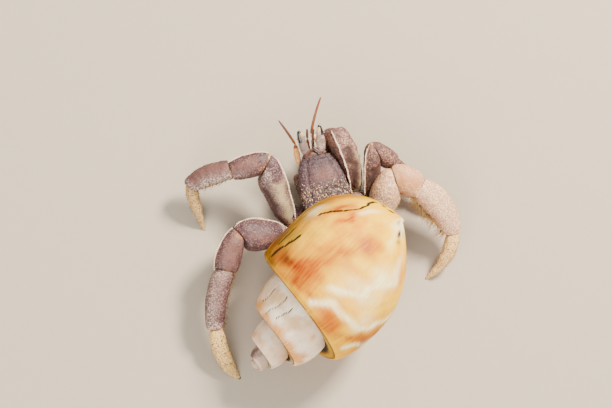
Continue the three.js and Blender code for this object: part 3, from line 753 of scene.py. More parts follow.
class Mould:
    """A closed piece along a bent line: a ball's poles go to the two ends, and its rings
    become sections with the given widths and heights. Its angle is 0 on the left, 90 on top."""

    def __init__(self, form, rows, columns):
        form = {**PLATE, **form}
        start, end = np.array(form["from"], float), np.array(form["to"], float)
        middle = (start + end) / 2 + 2 * np.array(form["bend"], float)
        self.form, self.curve = form, (start, middle, end)
        even = np.linspace(0, 1, rows + 2)[1:-1]
        polar = math.pi * (even - 0.85 * np.sin(FULL_TURN * even) / FULL_TURN)
        self.share = (0.4 * polar / math.pi + 0.6 * (1 - np.cos(polar)) / 2)[:, None]
        self.angle = np.linspace(0, FULL_TURN, columns, endpoint=False)[None, :]
        self.full = (np.sin(polar) ** form["blunt"])[:, None]
        self.points, self.out = self.at(self.share, self.angle, self.full)
        self.ends = np.array([start, end])

    def way(self, share):
        """Direction of the bent line at a share of it."""
        a, b, c = self.curve
        share = np.asarray(share, float)[..., None]
        return unit((1 - share) * (b - a) + share * (c - b))

    def at(self, share, angle, full=1.0):
        """Point and outward direction at a share of the length and an angle of the section,
        whose edge is a superellipse: the sign of each cosine times its size to the 2/square."""
        a, b, c = self.curve
        form = self.form
        s = share[..., None]
        centre = (1 - s) ** 2 * a + 2 * s * (1 - s) * b + s * s * c
        way = self.way(share)
        side = unit(np.cross(way, np.array(form["dorsal"], float)))
        top = np.cross(side, way)
        power = 2 / form["square"]
        across = np.sign(np.cos(angle)) * np.abs(np.cos(angle)) ** power
        upward = np.sign(np.sin(angle)) * np.abs(np.sin(angle)) ** power
        half_w = through(form["width"], share) / 2
        half_h = through(form["height"], share) / 2
        offset = -side * (across * full * half_w)[..., None] + top * (upward * full * half_h)[..., None]
        out = unit(-side * (across / half_w)[..., None] + top * (upward / half_h)[..., None])
        return centre + offset, out

    def push(self, amount):
        """Moves the surface out by an amount in millimetres at each point."""
        self.points = self.points + self.out * (amount * np.minimum(1, self.full * 1.2))[..., None]

    def cut(self, point, way, clearance, cup):
        """Presses what lies behind a plane onto it: the distance d becomes the mean of d and
        the root of d² + 0.03, so that the rim is round, and the end is a shallow cup."""
        for target in ("points", "ends"):
            places = getattr(self, target)
            far = (places - np.array(point, float)) @ way - clearance
            soft = (far + np.sqrt(far * far + 0.03)) / 2 + cup * np.clip(-far, 0, 3)
            setattr(self, target, places + (soft - far)[..., None] * way)

    def add_to(self, shape, **fields):
        """Adds the closed surface to a shape, with four-value fields on it."""
        rows, columns = self.points.shape[:2]
        points = np.concatenate([self.points.reshape(-1, 3), self.ends])
        spread = {}
        for name, values in fields.items():
            values = np.broadcast_to(values, (rows, columns, values.shape[-1]))
            spread[name] = np.concatenate([values.reshape(rows * columns, -1), values[0].mean(0)[None],
                                           values[-1].mean(0)[None]])
        return shape.add(points, tube_faces(rows, columns), **spread)


def grains(points, size, seed):
    """Height of round grains. Each cube of side `size` holds one middle, shifted by a hash of
    the cube's place. The height falls from 1 at the nearest middle to 0 at 0.62 of a side."""
    place = points / size
    cube = np.floor(place)
    nearest = np.full(place.shape[:-1], 9.0)
    for step in np.ndindex(3, 3, 3):
        corner = cube + np.array(step) - 1
        code = (corner @ HASH_STEPS + 17.0 * seed) % 7919
        shift = (np.sin(code[..., None] * HASH_WAVES) * 43758.5453) % 1.0
        nearest = np.minimum(nearest, np.linalg.norm(place - corner - shift, axis=-1))
    return ease(1 - nearest / GRAIN_EDGE)


def add_copies(shape, centres, sizes, **fields):
    """Adds a small ball at each centre. The copies' points and faces are worked out together."""
    points, faces = ball(5, 8)
    count, many = len(points), len(centres)
    placed = centres[:, None, :] + points[None] * np.asarray(sizes, float).reshape(many, -1, 1)
    shift = (np.arange(many) * count)[:, None, None]
    together = [(corners[None] + shift).reshape(-1, corners.shape[1]) for corners in faces]
    spread = {name: np.tile(value, (many * count, 1)) for name, value in fields.items()}
    shape.add(placed.reshape(-1, 3), together, **spread)


HAIR_RINGS = np.array([0.0, 0.4, 0.75])
HAIR_THICKNESS = 0.09
PATCH = 0.003


def add_bristles(shape, roots, ways, lengths, droop, patches, gold):
    """Adds tapered hairs with three sides. A hair runs from its root along its way and bends
    by `droop` with the square of the distance. Each takes a small patch of the OFBake map at
    its root's place on the unrolled plates."""
    count = len(roots)
    share = HAIR_RINGS[None, :, None, None]
    angle = np.linspace(0, FULL_TURN, 3, endpoint=False)[None, None, :, None]
    ways = unit(ways)
    across = unit(np.cross(ways, np.array([0.31, 0.52, 0.79])))
    other = np.cross(ways, across)
    length = np.asarray(lengths, float)[:, None]
    bend = np.asarray(droop, float)
    line = (roots[:, None, None] + (ways * length)[:, None, None] * share
            + (bend * length)[:, None, None] * share ** 2)
    radius = HAIR_THICKNESS / 2 * (1 - share) ** 0.6
    rings = line + radius * (np.cos(angle) * across[:, None, None] + np.sin(angle) * other[:, None, None])
    tips = roots + ways * length + bend * length
    points = np.concatenate([rings.reshape(count, 9, 3), tips[:, None]], 1)
    base = (np.arange(count) * 10)[:, None, None]
    quads = (grid_quads(3, 3)[None] + base).reshape(-1, 4)
    ends = np.array([[0, 2, 1], [9, 6, 7], [9, 7, 8], [9, 8, 6]])
    triangles = (ends[None] + base).reshape(-1, 3)
    tone = np.random.default_rng(count).uniform(0, 1, (count, 1))
    along = np.r_[np.repeat(HAIR_RINGS, 3), 1.0]
    mark = np.stack(np.broadcast_arrays(tone, along, gold, 0.0), -1)
    corner = PATCH * np.stack([np.r_[np.tile([0, 1, 0.5], 3), 0.5], along], -1)
    shape.add(points.reshape(-1, 3), [quads, triangles], hair=mark.reshape(-1, 4),
              OFBake=(patches[:, None] + corner[None]).reshape(-1, 2))


# ---------------------------------------------------------------- legs and claws

SEGMENTS = {
    "coxa": {"width": (3.0, 3.4, 3.8), "height": (2.8, 3.2, 3.8), "overlap": 0.8},
    "merus": {"width": (3.6, 5.0, 5.6, 4.8), "height": (4.2, 5.8, 6.2, 5.2), "overlap": 1.3,
              "blunt": 0.3},
    "carpus": {"width": (4.8, 5.4, 6.0, 5.8), "height": (4.4, 5.2, 5.4, 4.8), "overlap": 1.2,
               "blunt": 0.28},
    "propodus": {"width": (5.2, 5.0, 4.8, 4.4), "height": (4.8, 4.6, 4.2, 3.8), "overlap": 1.1,
                 "blunt": 0.26},
    "dactyl": {"width": (4.0, 3.7, 3.2, 2.4, 1.3), "height": (3.4, 3.2, 2.7, 2.0, 1.2), "overlap": 0.7,
               "blunt": 0.35},
    "claw_ischium": {"overlap": 0.6},
    "claw_merus": {"overlap": 0.9},
    "claw_carpus": {"overlap": 0.8},
    "claw_palm": {"overlap": 0.6, "blunt": 0.4},
}

# A segment's look. Ridges: angle, height in mm, half width in degrees, start and end shares.
# The other bands: angle, half width, start and end shares, strength.
# The under bands are painted shade: the undersides and the faces turned from the light are coloured dark
# brown.
PLAIN_LOOK = {"ridges": [], "under": [(270, 55, 0, 1, 0.7)], "smooth": [], "olive": [], "purple": [],
              "orange": [], "sand": [], "pale": []}
LIMBS = {
    "leg_2_left": {
        "joints": [(1.5, 1.6, 7.2), (6.6, 3.2, 7.2), (8.2, -9.8, 12.4), (15.9, -10.3, 10.9),
                   (24.4, -10.4, 6.5), (23.4, -1.0, -0.35)],
        "tone": "leg",
        "merus": {"bend": (0.5, 0, 0.5), "width": (3.8, 5.2, 6.4, 6.6), "height": (4.2, 5.6, 6.0, 5.4),
                  "look": {
            "ridges": [(142, 0.22, 5, 0.05, 1.0)], "olive": [(98, 38, 0.0, 0.66, 1.0)],
            "purple": [(105, 60, 0.74, 1.0, 1.0), (2, 14, 0.1, 0.9, 1.0)],
            "pale": [(52, 22, 0.66, 0.92, 0.8)], "under": [(34, 17, 0.0, 0.64, 1.0), (200, 34, 0, 1, 0.8)]}},
        "carpus": {"width": (5.2, 5.4, 5.2, 4.8), "height": (4.4, 5.0, 5.0, 4.4), "look": {
            "ridges": [(150, 0.12, 7, 0, 1)], "smooth": [(84, 34, 0.25, 0.9, 0.9)],
            "purple": [(140, 32, 0, 1, 0.85)], "orange": [(30, 30, 0.02, 0.26, 0.8)],
            "pale": [(35, 20, 0.55, 1, 0.45)]}},
        "propodus": {"bend": (0.2, -0.7, 0.4), "look": {
            "smooth": [(110, 42, 0.05, 0.85, 0.85)], "purple": [(140, 34, 0, 1, 0.75)],
            "pale": [(26, 44, 0.0, 1, 1.2), (90, 90, 0.86, 1, 0.9)], "sand": [(20, 30, 0.5, 1, 0.25)]}},
        "dactyl": {"bend": (0.4, -0.6, 0.6), "width": (3.4, 3.2, 2.7, 2.0, 1.2), "look": {
            "sand": [(90, 200, 0.0, 1, 0.8)]}},
    },
    "leg_3_left": {
        "joints": [(1.5, 6.2, 7.2), (8.6, 6.6, 7.2), (19.0, 3.6, 11.0), (23.5, 9.7, 9.4), (28.7, 20.6, 5.4),
                   (26.3, 32.1, -0.35)],
        "tone": "leg",
        "merus": {"width": (4.4, 6.4, 7.4, 6.6), "bend": (0, -0.3, 0.4), "look": {
            "ridges": [(156, 0.18, 6, 0.05, 1)], "smooth": [(78, 20, 0.35, 0.8, 0.7)],
            "purple": [(112, 40, 0.2, 0.98, 0.9), (30, 24, 0.3, 0.9, 0.5)],
            "pale": [(120, 60, 0.0, 0.30, 0.6)]}},
        "carpus": {"bend": (0.5, -0.4, 0.2), "width": (5.0, 5.4, 6.2, 6.4), "look": {
            "ridges": [(160, 0.10, 8, 0, 1)], "smooth": [(84, 32, 0.1, 0.88, 1.0)],
            "purple": [(150, 30, 0, 1, 0.7), (20, 25, 0.3, 1, 0.75)],
            "orange": [(60, 40, 0, 0.14, 0.8), (40, 40, 0.92, 1, 0.6)]}},
        "propodus": {"bend": (1.2, -0.2, 0.3), "width": (5.6, 5.0, 4.7, 4.6), "look": {
            "smooth": [(95, 24, 0.05, 0.75, 0.4)], "purple": [(36, 18, 0.0, 0.85, 0.5)],
            "under": [(342, 22, 0, 0.9, 1.0)], "pale": [(100, 90, 0.80, 1, 0.9), (125, 45, 0, 1, 0.6)],
            "sand": [(90, 180, 0.9, 1, 0.4)]}},
        "dactyl": {"bend": (1.4, 0.6, 0.5), "width": (4.2, 4.1, 3.8, 3.2, 1.6), "look": {
            "sand": [(90, 200, 0, 1, 0.98)]}},
    },
    "leg_3_right": {
        "joints": [(-5.2, 6.8, 7.2), (-11.2, 9.0, 8.0), (-17.6, 1.4, 12.4), (-21.4, 5.5, 11.8),
                   (-27.6, 16.4, 5.8), (-20.1, 23.8, -0.35)],
        "tone": "pale",
        "merus": {"width": (4.2, 6.4, 7.4, 7.0), "look": {
            "purple": [(30, 30, 0.1, 0.98, 0.3)], "sand": [(20, 34, 0.2, 0.95, 0.35)],
            "orange": [(150, 30, 0.6, 1.0, 0.4)], "pale": [(90, 60, 0.2, 1, 0.6)]}},
        "carpus": {"bend": (-0.3, -0.5, 0.2), "width": (5.6, 6.2, 6.6, 6.6), "height": (4.4, 5.2, 5.6, 5.2),
                   "look": {"smooth": [(90, 45, 0.05, 0.85, 0.5)],
                            "orange": [(100, 30, 0.2, 0.8, 0.8), (50, 20, 0.9, 1, 0.8)]}},
        "propodus": {"bend": (-1.4, -0.9, 0.4), "width": (6.6, 6.8, 6.2, 4.8), "height": (5.0, 4.8, 4.4, 3.8),
                     "look": {"smooth": [(95, 60, 0.1, 0.85, 0.15)], "pale": [(90, 80, 0.0, 1, 0.75)],
                              "purple": [(150, 30, 0.0, 0.8, 0.3)]}},
        "dactyl": {"bend": (-1.2, 1.0, 0.5), "look": {"sand": [(90, 200, 0.0, 1, 0.85)]}},
    },
    "leg_2_right": {
        "joints": [(-5.4, 1.8, 7.2), (-12.4, 3.9, 6.5), (-15.4, -5.8, 11.4), (-19.4, -2.2, 8.8),
                   (-24.0, 5.0, 4.0), (-28.0, 12.4, -0.35)],
        "tone": "claw",
        "merus": {"width": (3.4, 3.8, 4.4, 4.6), "height": (3.6, 5.0, 5.6, 5.2), "look": {
            "ridges": [(36, 0.24, 5, 0.05, 1)], "under": [(92, 46, 0, 0.66, 1.0), (340, 50, 0, 1, 0.9)],
            "purple": [(130, 40, 0.70, 1, 0.8)], "pale": [(62, 24, 0.3, 0.95, 0.6)]}},
        "carpus": {"width": (4.2, 4.8, 5.0, 4.2), "height": (4.4, 4.6, 4.6, 3.8), "look": {
            "purple": [(140, 30, 0, 0.6, 0.6)], "pale": [(90, 40, 0.3, 0.9, 0.5)],
            "under": [(5, 40, 0, 1, 0.8)], "orange": [(40, 30, 0.8, 1, 0.9)]}},
        "propodus": {"width": (3.8, 3.8, 3.6, 3.2), "height": (3.6, 3.6, 3.4, 3.0)},
        "dactyl": {"width": (3.0, 2.8, 2.4, 1.8, 1.1), "height": (2.8, 2.6, 2.2, 1.7, 1.1), "look": {
            "sand": [(90, 200, 0.1, 1, 0.7)]}},
    },
    "claw_right": {
        "joints": [(-5.2, -2.6, 7.2), (-9.3, -0.4, 7.0), (-8.5, -11.0, 10.4), (-8.2, -11.6, 6.4),
                   (-3.2, -3.0, 1.0)],
        "tone": "claw",
        "ischium": {"width": (3.0, 3.6, 4.0), "height": (2.8, 3.4, 4.2)},
        "merus": {"width": (4.2, 5.0, 5.8, 5.4), "height": (4.4, 6.2, 6.6, 5.6), "bend": (-0.9, 0, 0.7),
                  "overlap": 2.4, "blunt": 0.3, "look": {
            "ridges": [(58, 0.24, 4.5, 0.02, 1)],
            "under": [(84, 30, 0.0, 0.66, 1.0), (10, 30, 0, 0.8, 0.8), (200, 30, 0, 1, 0.7)],
            "purple": [(70, 40, 0.84, 1, 0.8), (150, 16, 0.3, 1, 0.6)], "olive": [(132, 22, 0.0, 0.62, 0.95)],
            "pale": [(110, 60, 0.62, 0.95, 0.9)]}},
        "carpus": {"width": (4.4, 4.8, 4.6), "height": (4.0, 4.4, 4.2), "dorsal": (0, -1, 0.2), "look": {
            "purple": [(90, 120, 0, 1, 0.9)]}},
        "palm": {"width": (4.2, 5.0, 4.6, 3.0, 1.6), "height": (4.4, 4.4, 3.6, 2.2, 1.4),
                 "bend": (-0.6, 0, 0.2), "look": {"purple": [(90, 120, 0, 0.5, 0.8)]}},
        "finger": {"from": (-5.6, -6.8, 5.0), "to": (-3.1, -3.2, 2.5), "bend": (0, 0, 0.4),
                   "width": (2.2, 2.2, 1.7, 1.1), "height": (1.8, 1.8, 1.5, 1.0)},
    },
    "claw_left": {
        "joints": [(0.2, -2.0, 7.2), (0.9, -0.4, 4.8), (0.9, -5.2, 4.6), (0.2, -5.6, 2.6), (-0.6, 1.2, 0.9)],
        "tone": "claw",
        "ischium": {"width": (2.0, 2.2, 2.4), "height": (1.8, 2.2, 2.4), "dorsal": (0, 1, 0)},
        "merus": {"width": (2.4, 2.6, 2.6), "height": (2.2, 2.6, 2.6)},
        "carpus": {"width": (2.4, 2.6, 2.4), "height": (2.2, 2.4, 2.2), "dorsal": (0, -1, 0.2)},
        "palm": {"width": (2.2, 3.0, 2.8, 1.9, 1.1), "height": (2.0, 2.4, 2.0, 1.5, 1.1)},
        "finger": {"from": (0.0, -2.4, 3.1), "to": (-0.5, 0.9, 2.2), "width": (1.5, 1.5, 1.2, 0.8),
                   "height": (1.2, 1.2, 1.0, 0.8)},
    },
}
LEG_PARTS = ("coxa", "merus", "carpus", "propodus", "dactyl")
CLAW_PARTS = ("ischium", "merus", "carpus", "palm")
BAND_KINDS = ("under", "smooth", "olive", "purple", "orange", "sand", "pale")

# Millimetres. A cut leaves a clearance to the joint's plane, and then a cup's share of depth.
GRAIN_HEIGHT, HOLLOW_DEPTH, BEAD_SINK = 0.075, 0.28, 0.06
WAIST = (0.16, 0.12)
PLATE_CUT = (0.06, 0.08)
SKIN_REACH, SKIN_SHARE = 1.1, 0.33


def limb_parts(name):
    """Names of a limb's segments, from the body out."""
    return LEG_PARTS if name.startswith("leg") else CLAW_PARTS


def segment_mould(name, index, rows=120, columns=110):
    """The mould of one segment, a little longer than the stretch between its joints, with
    its ends cut on the planes that halve the bends there."""
    limb = LIMBS[name]
    parts = limb_parts(name)
    part = parts[index]
    joints = [np.array(j, float) for j in limb["joints"]]
    ways = [unit(b - a) for a, b in zip(joints, joints[1:])]
    kind = part if name.startswith("leg") else f"claw_{part}"
    own = {**SEGMENTS[kind], **{k: v for k, v in limb.get(part, {}).items() if k != "look"}}
    last = index == len(parts) - 1
    start = joints[index] - ways[index] * own["overlap"]
    end = joints[index + 1] + (0 if last else own["overlap"]) * ways[index]
    return Mould({**own, "from": start, "to": end}, rows, columns), joints, ways


def bands(look, kind, share, angle):
    """Soft bands of one kind on a segment: round its section and along its length."""
    left = np.ones(np.broadcast(share, angle).shape)
    for centre, half, start, end, strength in look[kind]:
        left = left * (1 - strength * np.clip(around(angle, centre, half) * between(share, start, end), 0, 1))
    return 1 - left


def segment_fields(look, mould, seed, tip=0.0):
    """The masks that a segment's material reads, from the look's bands with wavy edges. Marks:
    ridge, under (painted shade), smooth, sand. Tints: olive, orange, purple, ends. Grain: height, pale, tip."""
    share, angle = mould.share, mould.angle
    wobble = 0.18 * waves(mould.points, 3.5, seed)
    sway = share + 0.25 * wobble
    ridge = np.zeros(np.broadcast(share, angle).shape)
    for centre, _, half, start, end in look["ridges"]:
        ridge = np.maximum(ridge, around(angle, centre, half) * between(share, start, end))
    kinds = {kind: bands(look, kind, sway, angle + wobble) for kind in BAND_KINDS}
    ends = np.maximum(ease(1 - share / 0.10), ease((share - 0.90) / 0.10)) + 0 * angle
    height = grains(mould.points, PLATE_GRAIN, seed)
    return {"marks": np.stack([ridge, kinds["under"], kinds["smooth"], kinds["sand"]], -1),
            "tints": np.stack([kinds["olive"], kinds["orange"], kinds["purple"], ends], -1),
            "grain": np.stack([height, kinds["pale"], tip + 0 * ridge, 0 * ridge], -1)}


def segment_relief(look, mould, seed, fields):
    """Height over the plain plate: slow waves, grains except where it is smooth, a hollow
    along its underside, and its ridges."""
    share, angle = mould.share, mould.angle
    under, smooth = fields["marks"][..., 1], fields["marks"][..., 2]
    raised = -0.12 + 0.07 * waves(mould.points, 4.0, seed) + 0.03 * waves(mould.points, 1.1, seed + 1)
    raised = raised + GRAIN_HEIGHT * fields["grain"][..., 0] * (1 - 0.8 * smooth)
    raised = raised - HOLLOW_DEPTH * under * ease(1.2 - 2.4 * np.abs(share - 0.5))
    for centre, height, half, start, end in look["ridges"]:
        raised = raised + height * around(angle, centre, 2.2 * half) * between(share, start, end)
    return raised


def add_beads(shape, mould, ridge, bead):
    """A row of small balls along a ridge, sunk a little into its crest."""
    centre, height, _, start, end = ridge
    length = np.linalg.norm(mould.curve[2] - mould.curve[0])
    shares = np.arange(max(start, 0.06) * length, min(end, 0.94) * length, 1.1 * bead) / length
    angles = np.full_like(shares, math.radians(centre)) + 0.03 * np.sin(37 * shares)
    centres = surface_roots(mould, shares, angles, height - BEAD_SINK)[0]
    sizes = bead * 0.5 * (0.85 + 0.3 * np.sin(91 * shares) ** 2)
    add_copies(shape, centres, sizes, marks=[1.0, 0, 0, 0], tints=[0.0, 0, 0, 0], grain=[1.0, 0, 0, 0])


def make_segment(name, index, material, settings):
    """One plate of a limb: the mould with its relief, beads along its ridges, a narrower
    waist at its joints, and its ends cut."""
    part = limb_parts(name)[index]
    look = {**PLAIN_LOOK, **LIMBS[name].get(part, {}).get("look", {})}
    mould, joints, ways = segment_mould(name, index)
    share = mould.share
    seed = 31 + 7 * index + len(name) + ord(name[4])
    last = index == len(limb_parts(name)) - 1
    fields = segment_fields(look, mould, seed, ease((share - 0.95) / 0.04) if last else 0.0)
    waist = WAIST[0] * ease(1 - share / 0.14) if index else 0
    if not last:
        waist = waist + WAIST[1] * ease((share - 0.88) / 0.12)
    mould.push(segment_relief(look, mould, seed, fields) - waist)
    if index > 0:
        mould.cut(joints[index], unit(ways[index - 1] + ways[index]), *PLATE_CUT)
    if not last:
        mould.cut(joints[index + 1], -unit(ways[index] + ways[index + 1]), *PLATE_CUT)
    shape = Shape()
    mould.add_to(shape, **fields)
    for ridge in look["ridges"]:
        add_beads(shape, mould, ridge, settings.bead / MM)
    slot = "leg_plate" if name.startswith("leg") else "claw_plate"
    return shape.build(f"{name}_{part}_plate", material, slot, f"{name}_{part}")


def surface_roots(mould, shares, angles, lift):
    """Points over a mould's own surface, lifted by an amount, and the outward directions."""
    middle = mould.at(shares, angles, 0.0)[0]
    edge, out = mould.at(shares, angles, 1.0)
    full = np.interp(shares, mould.share[:, 0], mould.full[:, 0])[:, None]
    return middle + (edge - middle) * full + lift * out, out


def make_finger(name, material):
    """The movable finger of a claw, with a row of blunt teeth along its inner edge."""
    mould = Mould(LIMBS[name]["finger"] | {"blunt": 0.35}, 90, 72)
    share, angle = mould.share, mould.angle
    fields = segment_fields(PLAIN_LOOK, mould, 72, ease((share - 0.88) / 0.08))
    teeth = 0.10 * around(angle, 270, 30) * np.sin(share * 40) ** 2
    mould.push(-0.08 + 0.03 * waves(mould.points, 1.5, 71) + teeth + 0.05 * fields["grain"][..., 0])
    shape = Shape()
    mould.add_to(shape, **fields)
    return shape.build(f"{name}_finger_plate", material, "claw_plate", f"{name}_finger")


def make_joint_skin(material):
    """The soft skin that shows between two plates: a small ball at each joint, somewhat
    narrower than the plate that follows it."""
    shape = Shape()
    for name in LIMBS:
        for index in range(1, len(limb_parts(name))):
            mould, joints, ways = segment_mould(name, index, rows=20, columns=16)
            width, height = (2 * SKIN_SHARE * through(mould.form[size], np.array(0.1))
                             for size in ("width", "height"))
            reach = SKIN_REACH * unit(ways[index - 1] + ways[index])
            skin = Mould({"from": joints[index] - reach, "to": joints[index] + reach, "width": (width,) * 2,
                          "height": (height,) * 2, "blunt": 0.5, "dorsal": mould.form["dorsal"]}, 24, 32)
            skin.push(0.10 * np.sin(skin.share * 40))
            skin.add_to(shape)
    return shape.build("joint_skin", material, "soft_body")


# ---------------------------------------------------------------- body and head

SHIELD = {"from": (-2.9, -8.3, 10.6), "to": (-2.0, 4.6, 10.4), "width": (8.2, 9.6, 10.8, 11.4, 11.4),
          "height": (2.8, 3.4, 3.6, 3.6), "square": 2.8, "blunt": 0.10}
THORAX = {"from": (-2.7, -5.8, 7.0), "to": (-1.6, 9.0, 7.0), "width": (6.0, 7.6, 8.4, 7.4),
          "height": (2.4, 3.0, 3.2, 3.2), "blunt": 0.4}
ABDOMEN = {"from": (-2.4, 10.4, 8.2), "bend": (-0.6, -3.0, 0.6), "width": (4.4, 6.4, 6.0, 4.0),
           "height": (3.0, 5.4, 5.4, 4.0), "dorsal": (0, -1, 0)}
BROW = {"from": (-2.7, -7.0, 10.5), "to": (-2.7, -9.9, 10.9), "width": (4.6, 5.4, 4.0),
        "height": (1.6, 1.7, 1.2), "blunt": 0.3}
MOUTH = {"top": (-2.7, -6.6, 6.9), "bottom": (-2.8, -8.9, 6.0), "apart": 1.4,
         "form": {"width": (1.3, 1.4, 1.0), "height": (1.6, 1.5, 1.0)}}
REAR = {"middle": -1.6, "form": {"width": (1.7, 1.9, 1.4), "height": (1.7, 1.9, 1.4), "dorsal": (0, 1, 0)}}
HEAD = {
    "left": {
        "stalk": {"from": (-0.9, -8.9, 11.1), "to": (-0.3, -13.9, 14.3), "width": (2.2, 2.1, 1.7, 1.5),
                  "height": (1.8, 1.8, 1.6, 1.6)},
        "peduncle": {"from": (0.9, -7.8, 9.2), "to": (0.5, -11.9, 10.5), "width": (1.4, 1.4, 1.1),
                     "height": (1.5, 1.3, 1.0)},
        "flagellum": {"from": (0.5, -12.3, 10.6), "to": (3.0, -17.5, 13.4), "bend": (0, 0, 0.3)},
        "antennule": {"from": (-2.1, -9.6, 9.9), "to": (-2.2, -12.2, 11.6)},
        "palp": {"from": (-2.2, -12.6, 11.8), "to": (-2.5, -14.0, 13.0)},
        "acicle": {"from": (-0.5, -8.4, 11.9), "to": (-2.0, -9.9, 12.15)},
        "outer": 30, "black_from": 0.55, "whip": 1.0,
    },
    "right": {
        "stalk": {"from": (-4.4, -8.6, 11.1), "to": (-5.0, -13.9, 14.3), "width": (2.3, 2.2, 1.8, 1.3),
                  "height": (1.8, 1.8, 1.7, 1.5)},
        "peduncle": {"from": (-5.5, -8.9, 9.6), "to": (-3.6, -13.1, 10.6), "bend": (-0.2, 0, 0),
                     "width": (1.6, 1.3, 1.4), "height": (1.5, 1.2, 1.2)},
        "flagellum": {"from": (-3.6, -13.6, 10.8), "to": (-7.1, -19.4, 15.4), "bend": (0.3, 0, 0.3)},
        "antennule": {"from": (-3.1, -9.7, 9.9), "to": (-3.3, -11.8, 11.5)},
        "palp": {"from": (-3.4, -12.2, 11.7), "to": (-3.9, -13.6, 12.9)},
        "acicle": {"from": (-3.9, -8.3, 12.0), "to": (-2.5, -10.1, 12.2)},
        "outer": 136, "black_from": 0.64, "whip": 0.0,
    },
}
CORNEA_SHARE = 0.7
RELIEF = {"sunk": -0.12, "crest": 0.14, "groove": 0.16, "neck": 0.14, "rim": 0.10, "grain": 0.06,
          "lobe": 0.25, "corner": 0.15}
GROOVE_AT, NECK_AT, RIM_AT, BROW_LOBES = 0.52, 0.62, 0.055, 3


def shield_relief(mould, across, height, smooth):
    """Height over the plain shield: a crest, two long grooves, a neck groove across, a rim
    at the front, slow waves, and grains except in its smooth middle."""
    share = mould.share
    top = ease((np.sin(mould.angle) + 0.1) / 0.7) + 0 * share
    long_grooves = np.exp(-((np.abs(across) - GROOVE_AT) / 0.07) ** 2) * between(share, 0.12, 0.75, 0.2)
    neck = np.exp(-((share - NECK_AT - 0.16 * across ** 2) / 0.030) ** 2) * (np.abs(across) < 0.8)
    rim = np.exp(-((share - RIM_AT) / 0.02) ** 2) * top
    crest = np.exp(-(across / 0.35) ** 2) * between(share, 0.06, 0.6, 0.25)
    pressed = RELIEF["crest"] * crest - RELIEF["groove"] * long_grooves - RELIEF["neck"] * neck
    relief = RELIEF["sunk"] + top * pressed - RELIEF["rim"] * rim
    relief = relief + 0.05 * waves(mould.points, 2.5, 41) + 0.03 * waves(mould.points, 0.8, 42)
    return relief + RELIEF["grain"] * height * (1 - 0.85 * smooth)


def make_shield(material):
    """The hard front of the carapace. Its top is 90 degrees and x runs across it. Its relief is
    pressed in, and its front is scalloped round the eyestalks."""
    mould = Mould(SHIELD, 190, 200)
    share, angle = mould.share, mould.angle
    across = np.cos(angle) + 0 * share
    smooth = spots(across, share, [(0.14, 0.36, 0.40, 0.15, 0.95)])
    mould.push(shield_relief(mould, across, grains(mould.points, SHIELD_GRAIN, 40), smooth))
    lobes = 0.5 + 0.5 * np.cos(np.clip(across / 0.86, -1, 1) * BROW_LOBES * math.pi)
    scallop = RELIEF["lobe"] * lobes * (np.abs(across) < 0.86) + RELIEF["corner"] * across ** 2
    back = ease((0.16 - share) / 0.14) * scallop
    mould.points = mould.points + mould.way(np.array(0.0)) * back[..., None]
    sand = ease((share - 0.40) / 0.22) * ease((np.sin(angle) + 0.25) / 0.5) * (1 - 0.25 * np.abs(across))
    dark = np.maximum(np.exp(-((share - 0.06) / 0.20) ** 2) * 0.95, around(angle, 180, 42) * 0.8)
    dark = np.maximum(dark, around(angle, 0, 34) * 0.7)
    # The blue spot is a painted shadow that the shell's lip casts on the shield's rear.
    blue = spots(across, share, [(-0.35, 0.90, 0.45, 0.08, 0.8)])
    shape = Shape()
    mould.add_to(shape, marks=np.stack([blue, dark, smooth, sand * 0.70], -1))
    return shape.build("carapace_shield", material, "carapace", "shield")


def make_soft_body(material):
    """The thorax under the shield, the abdomen that goes up into the whorl, and the soft brow
    between the eyestalks, all with the creases of skin."""
    thorax = Mould(THORAX, 60, 60)
    thorax.push(-0.05 + 0.10 * np.sin(thorax.share * 44) * ease((0.3 - np.sin(thorax.angle)) / 0.6))
    middle = whelk_point(np.array([-0.2]), np.array([31.0]), np.array([9.6]))[0]
    abdomen = Mould({**ABDOMEN, "to": middle}, 60, 60)
    abdomen.push(-0.08 + 0.07 * waves(abdomen.points, 1.6, 51))
    brow = Mould(BROW, 40, 48)
    brow.push(0.10 * waves(brow.points, 0.9, 52))
    for name, mould, nodes in (("thorax", thorax, ("thorax",)), ("abdomen", abdomen, ("abdomen",)),
                               ("brow", brow, ())):
        shape = Shape()
        mould.add_to(shape)
        shape.build(f"{name}_skin", material, "soft_body", *nodes)


def make_mouth_and_rear_legs(plate, claw):
    """The pair of mouth legs under the head, and the short fourth legs that grip the shell.
    Each is a rod with one joint pressed in round it."""
    for side, way in (("left", 1), ("right", -1)):
        shift = np.array([way * (MOUTH["apart"] / 2 + 0.35), 0, 0])
        mouth = {**MOUTH["form"], "from": MOUTH["top"] + shift, "to": MOUTH["bottom"] + shift}
        rear = {**REAR["form"], "from": (REAR["middle"] + way * 4.5, 9.8, 8.6),
                "to": (REAR["middle"] + way * 4.0, 10.4, 12.4), "bend": (way * 0.5, 0, 0)}
        rows = (("maxilliped", mouth, 0.12, 0.45, 0.05, 61, claw, "claw_plate"),
                ("leg_4", rear, 0.15, 0.5, 0.04, 62, plate, "leg_plate"))
        for name, form, depth, at, half, seed, material, slot in rows:
            mould = Mould(form, 40, 32)
            mould.push(-0.02 - depth * np.exp(-((mould.share - at) / half) ** 2) + 0 * mould.angle)
            shape = Shape()
            mould.add_to(shape, **segment_fields(PLAIN_LOOK, mould, seed))
            shape.build(f"{name}_{side}_plate", material, slot, f"{name}_{side}")


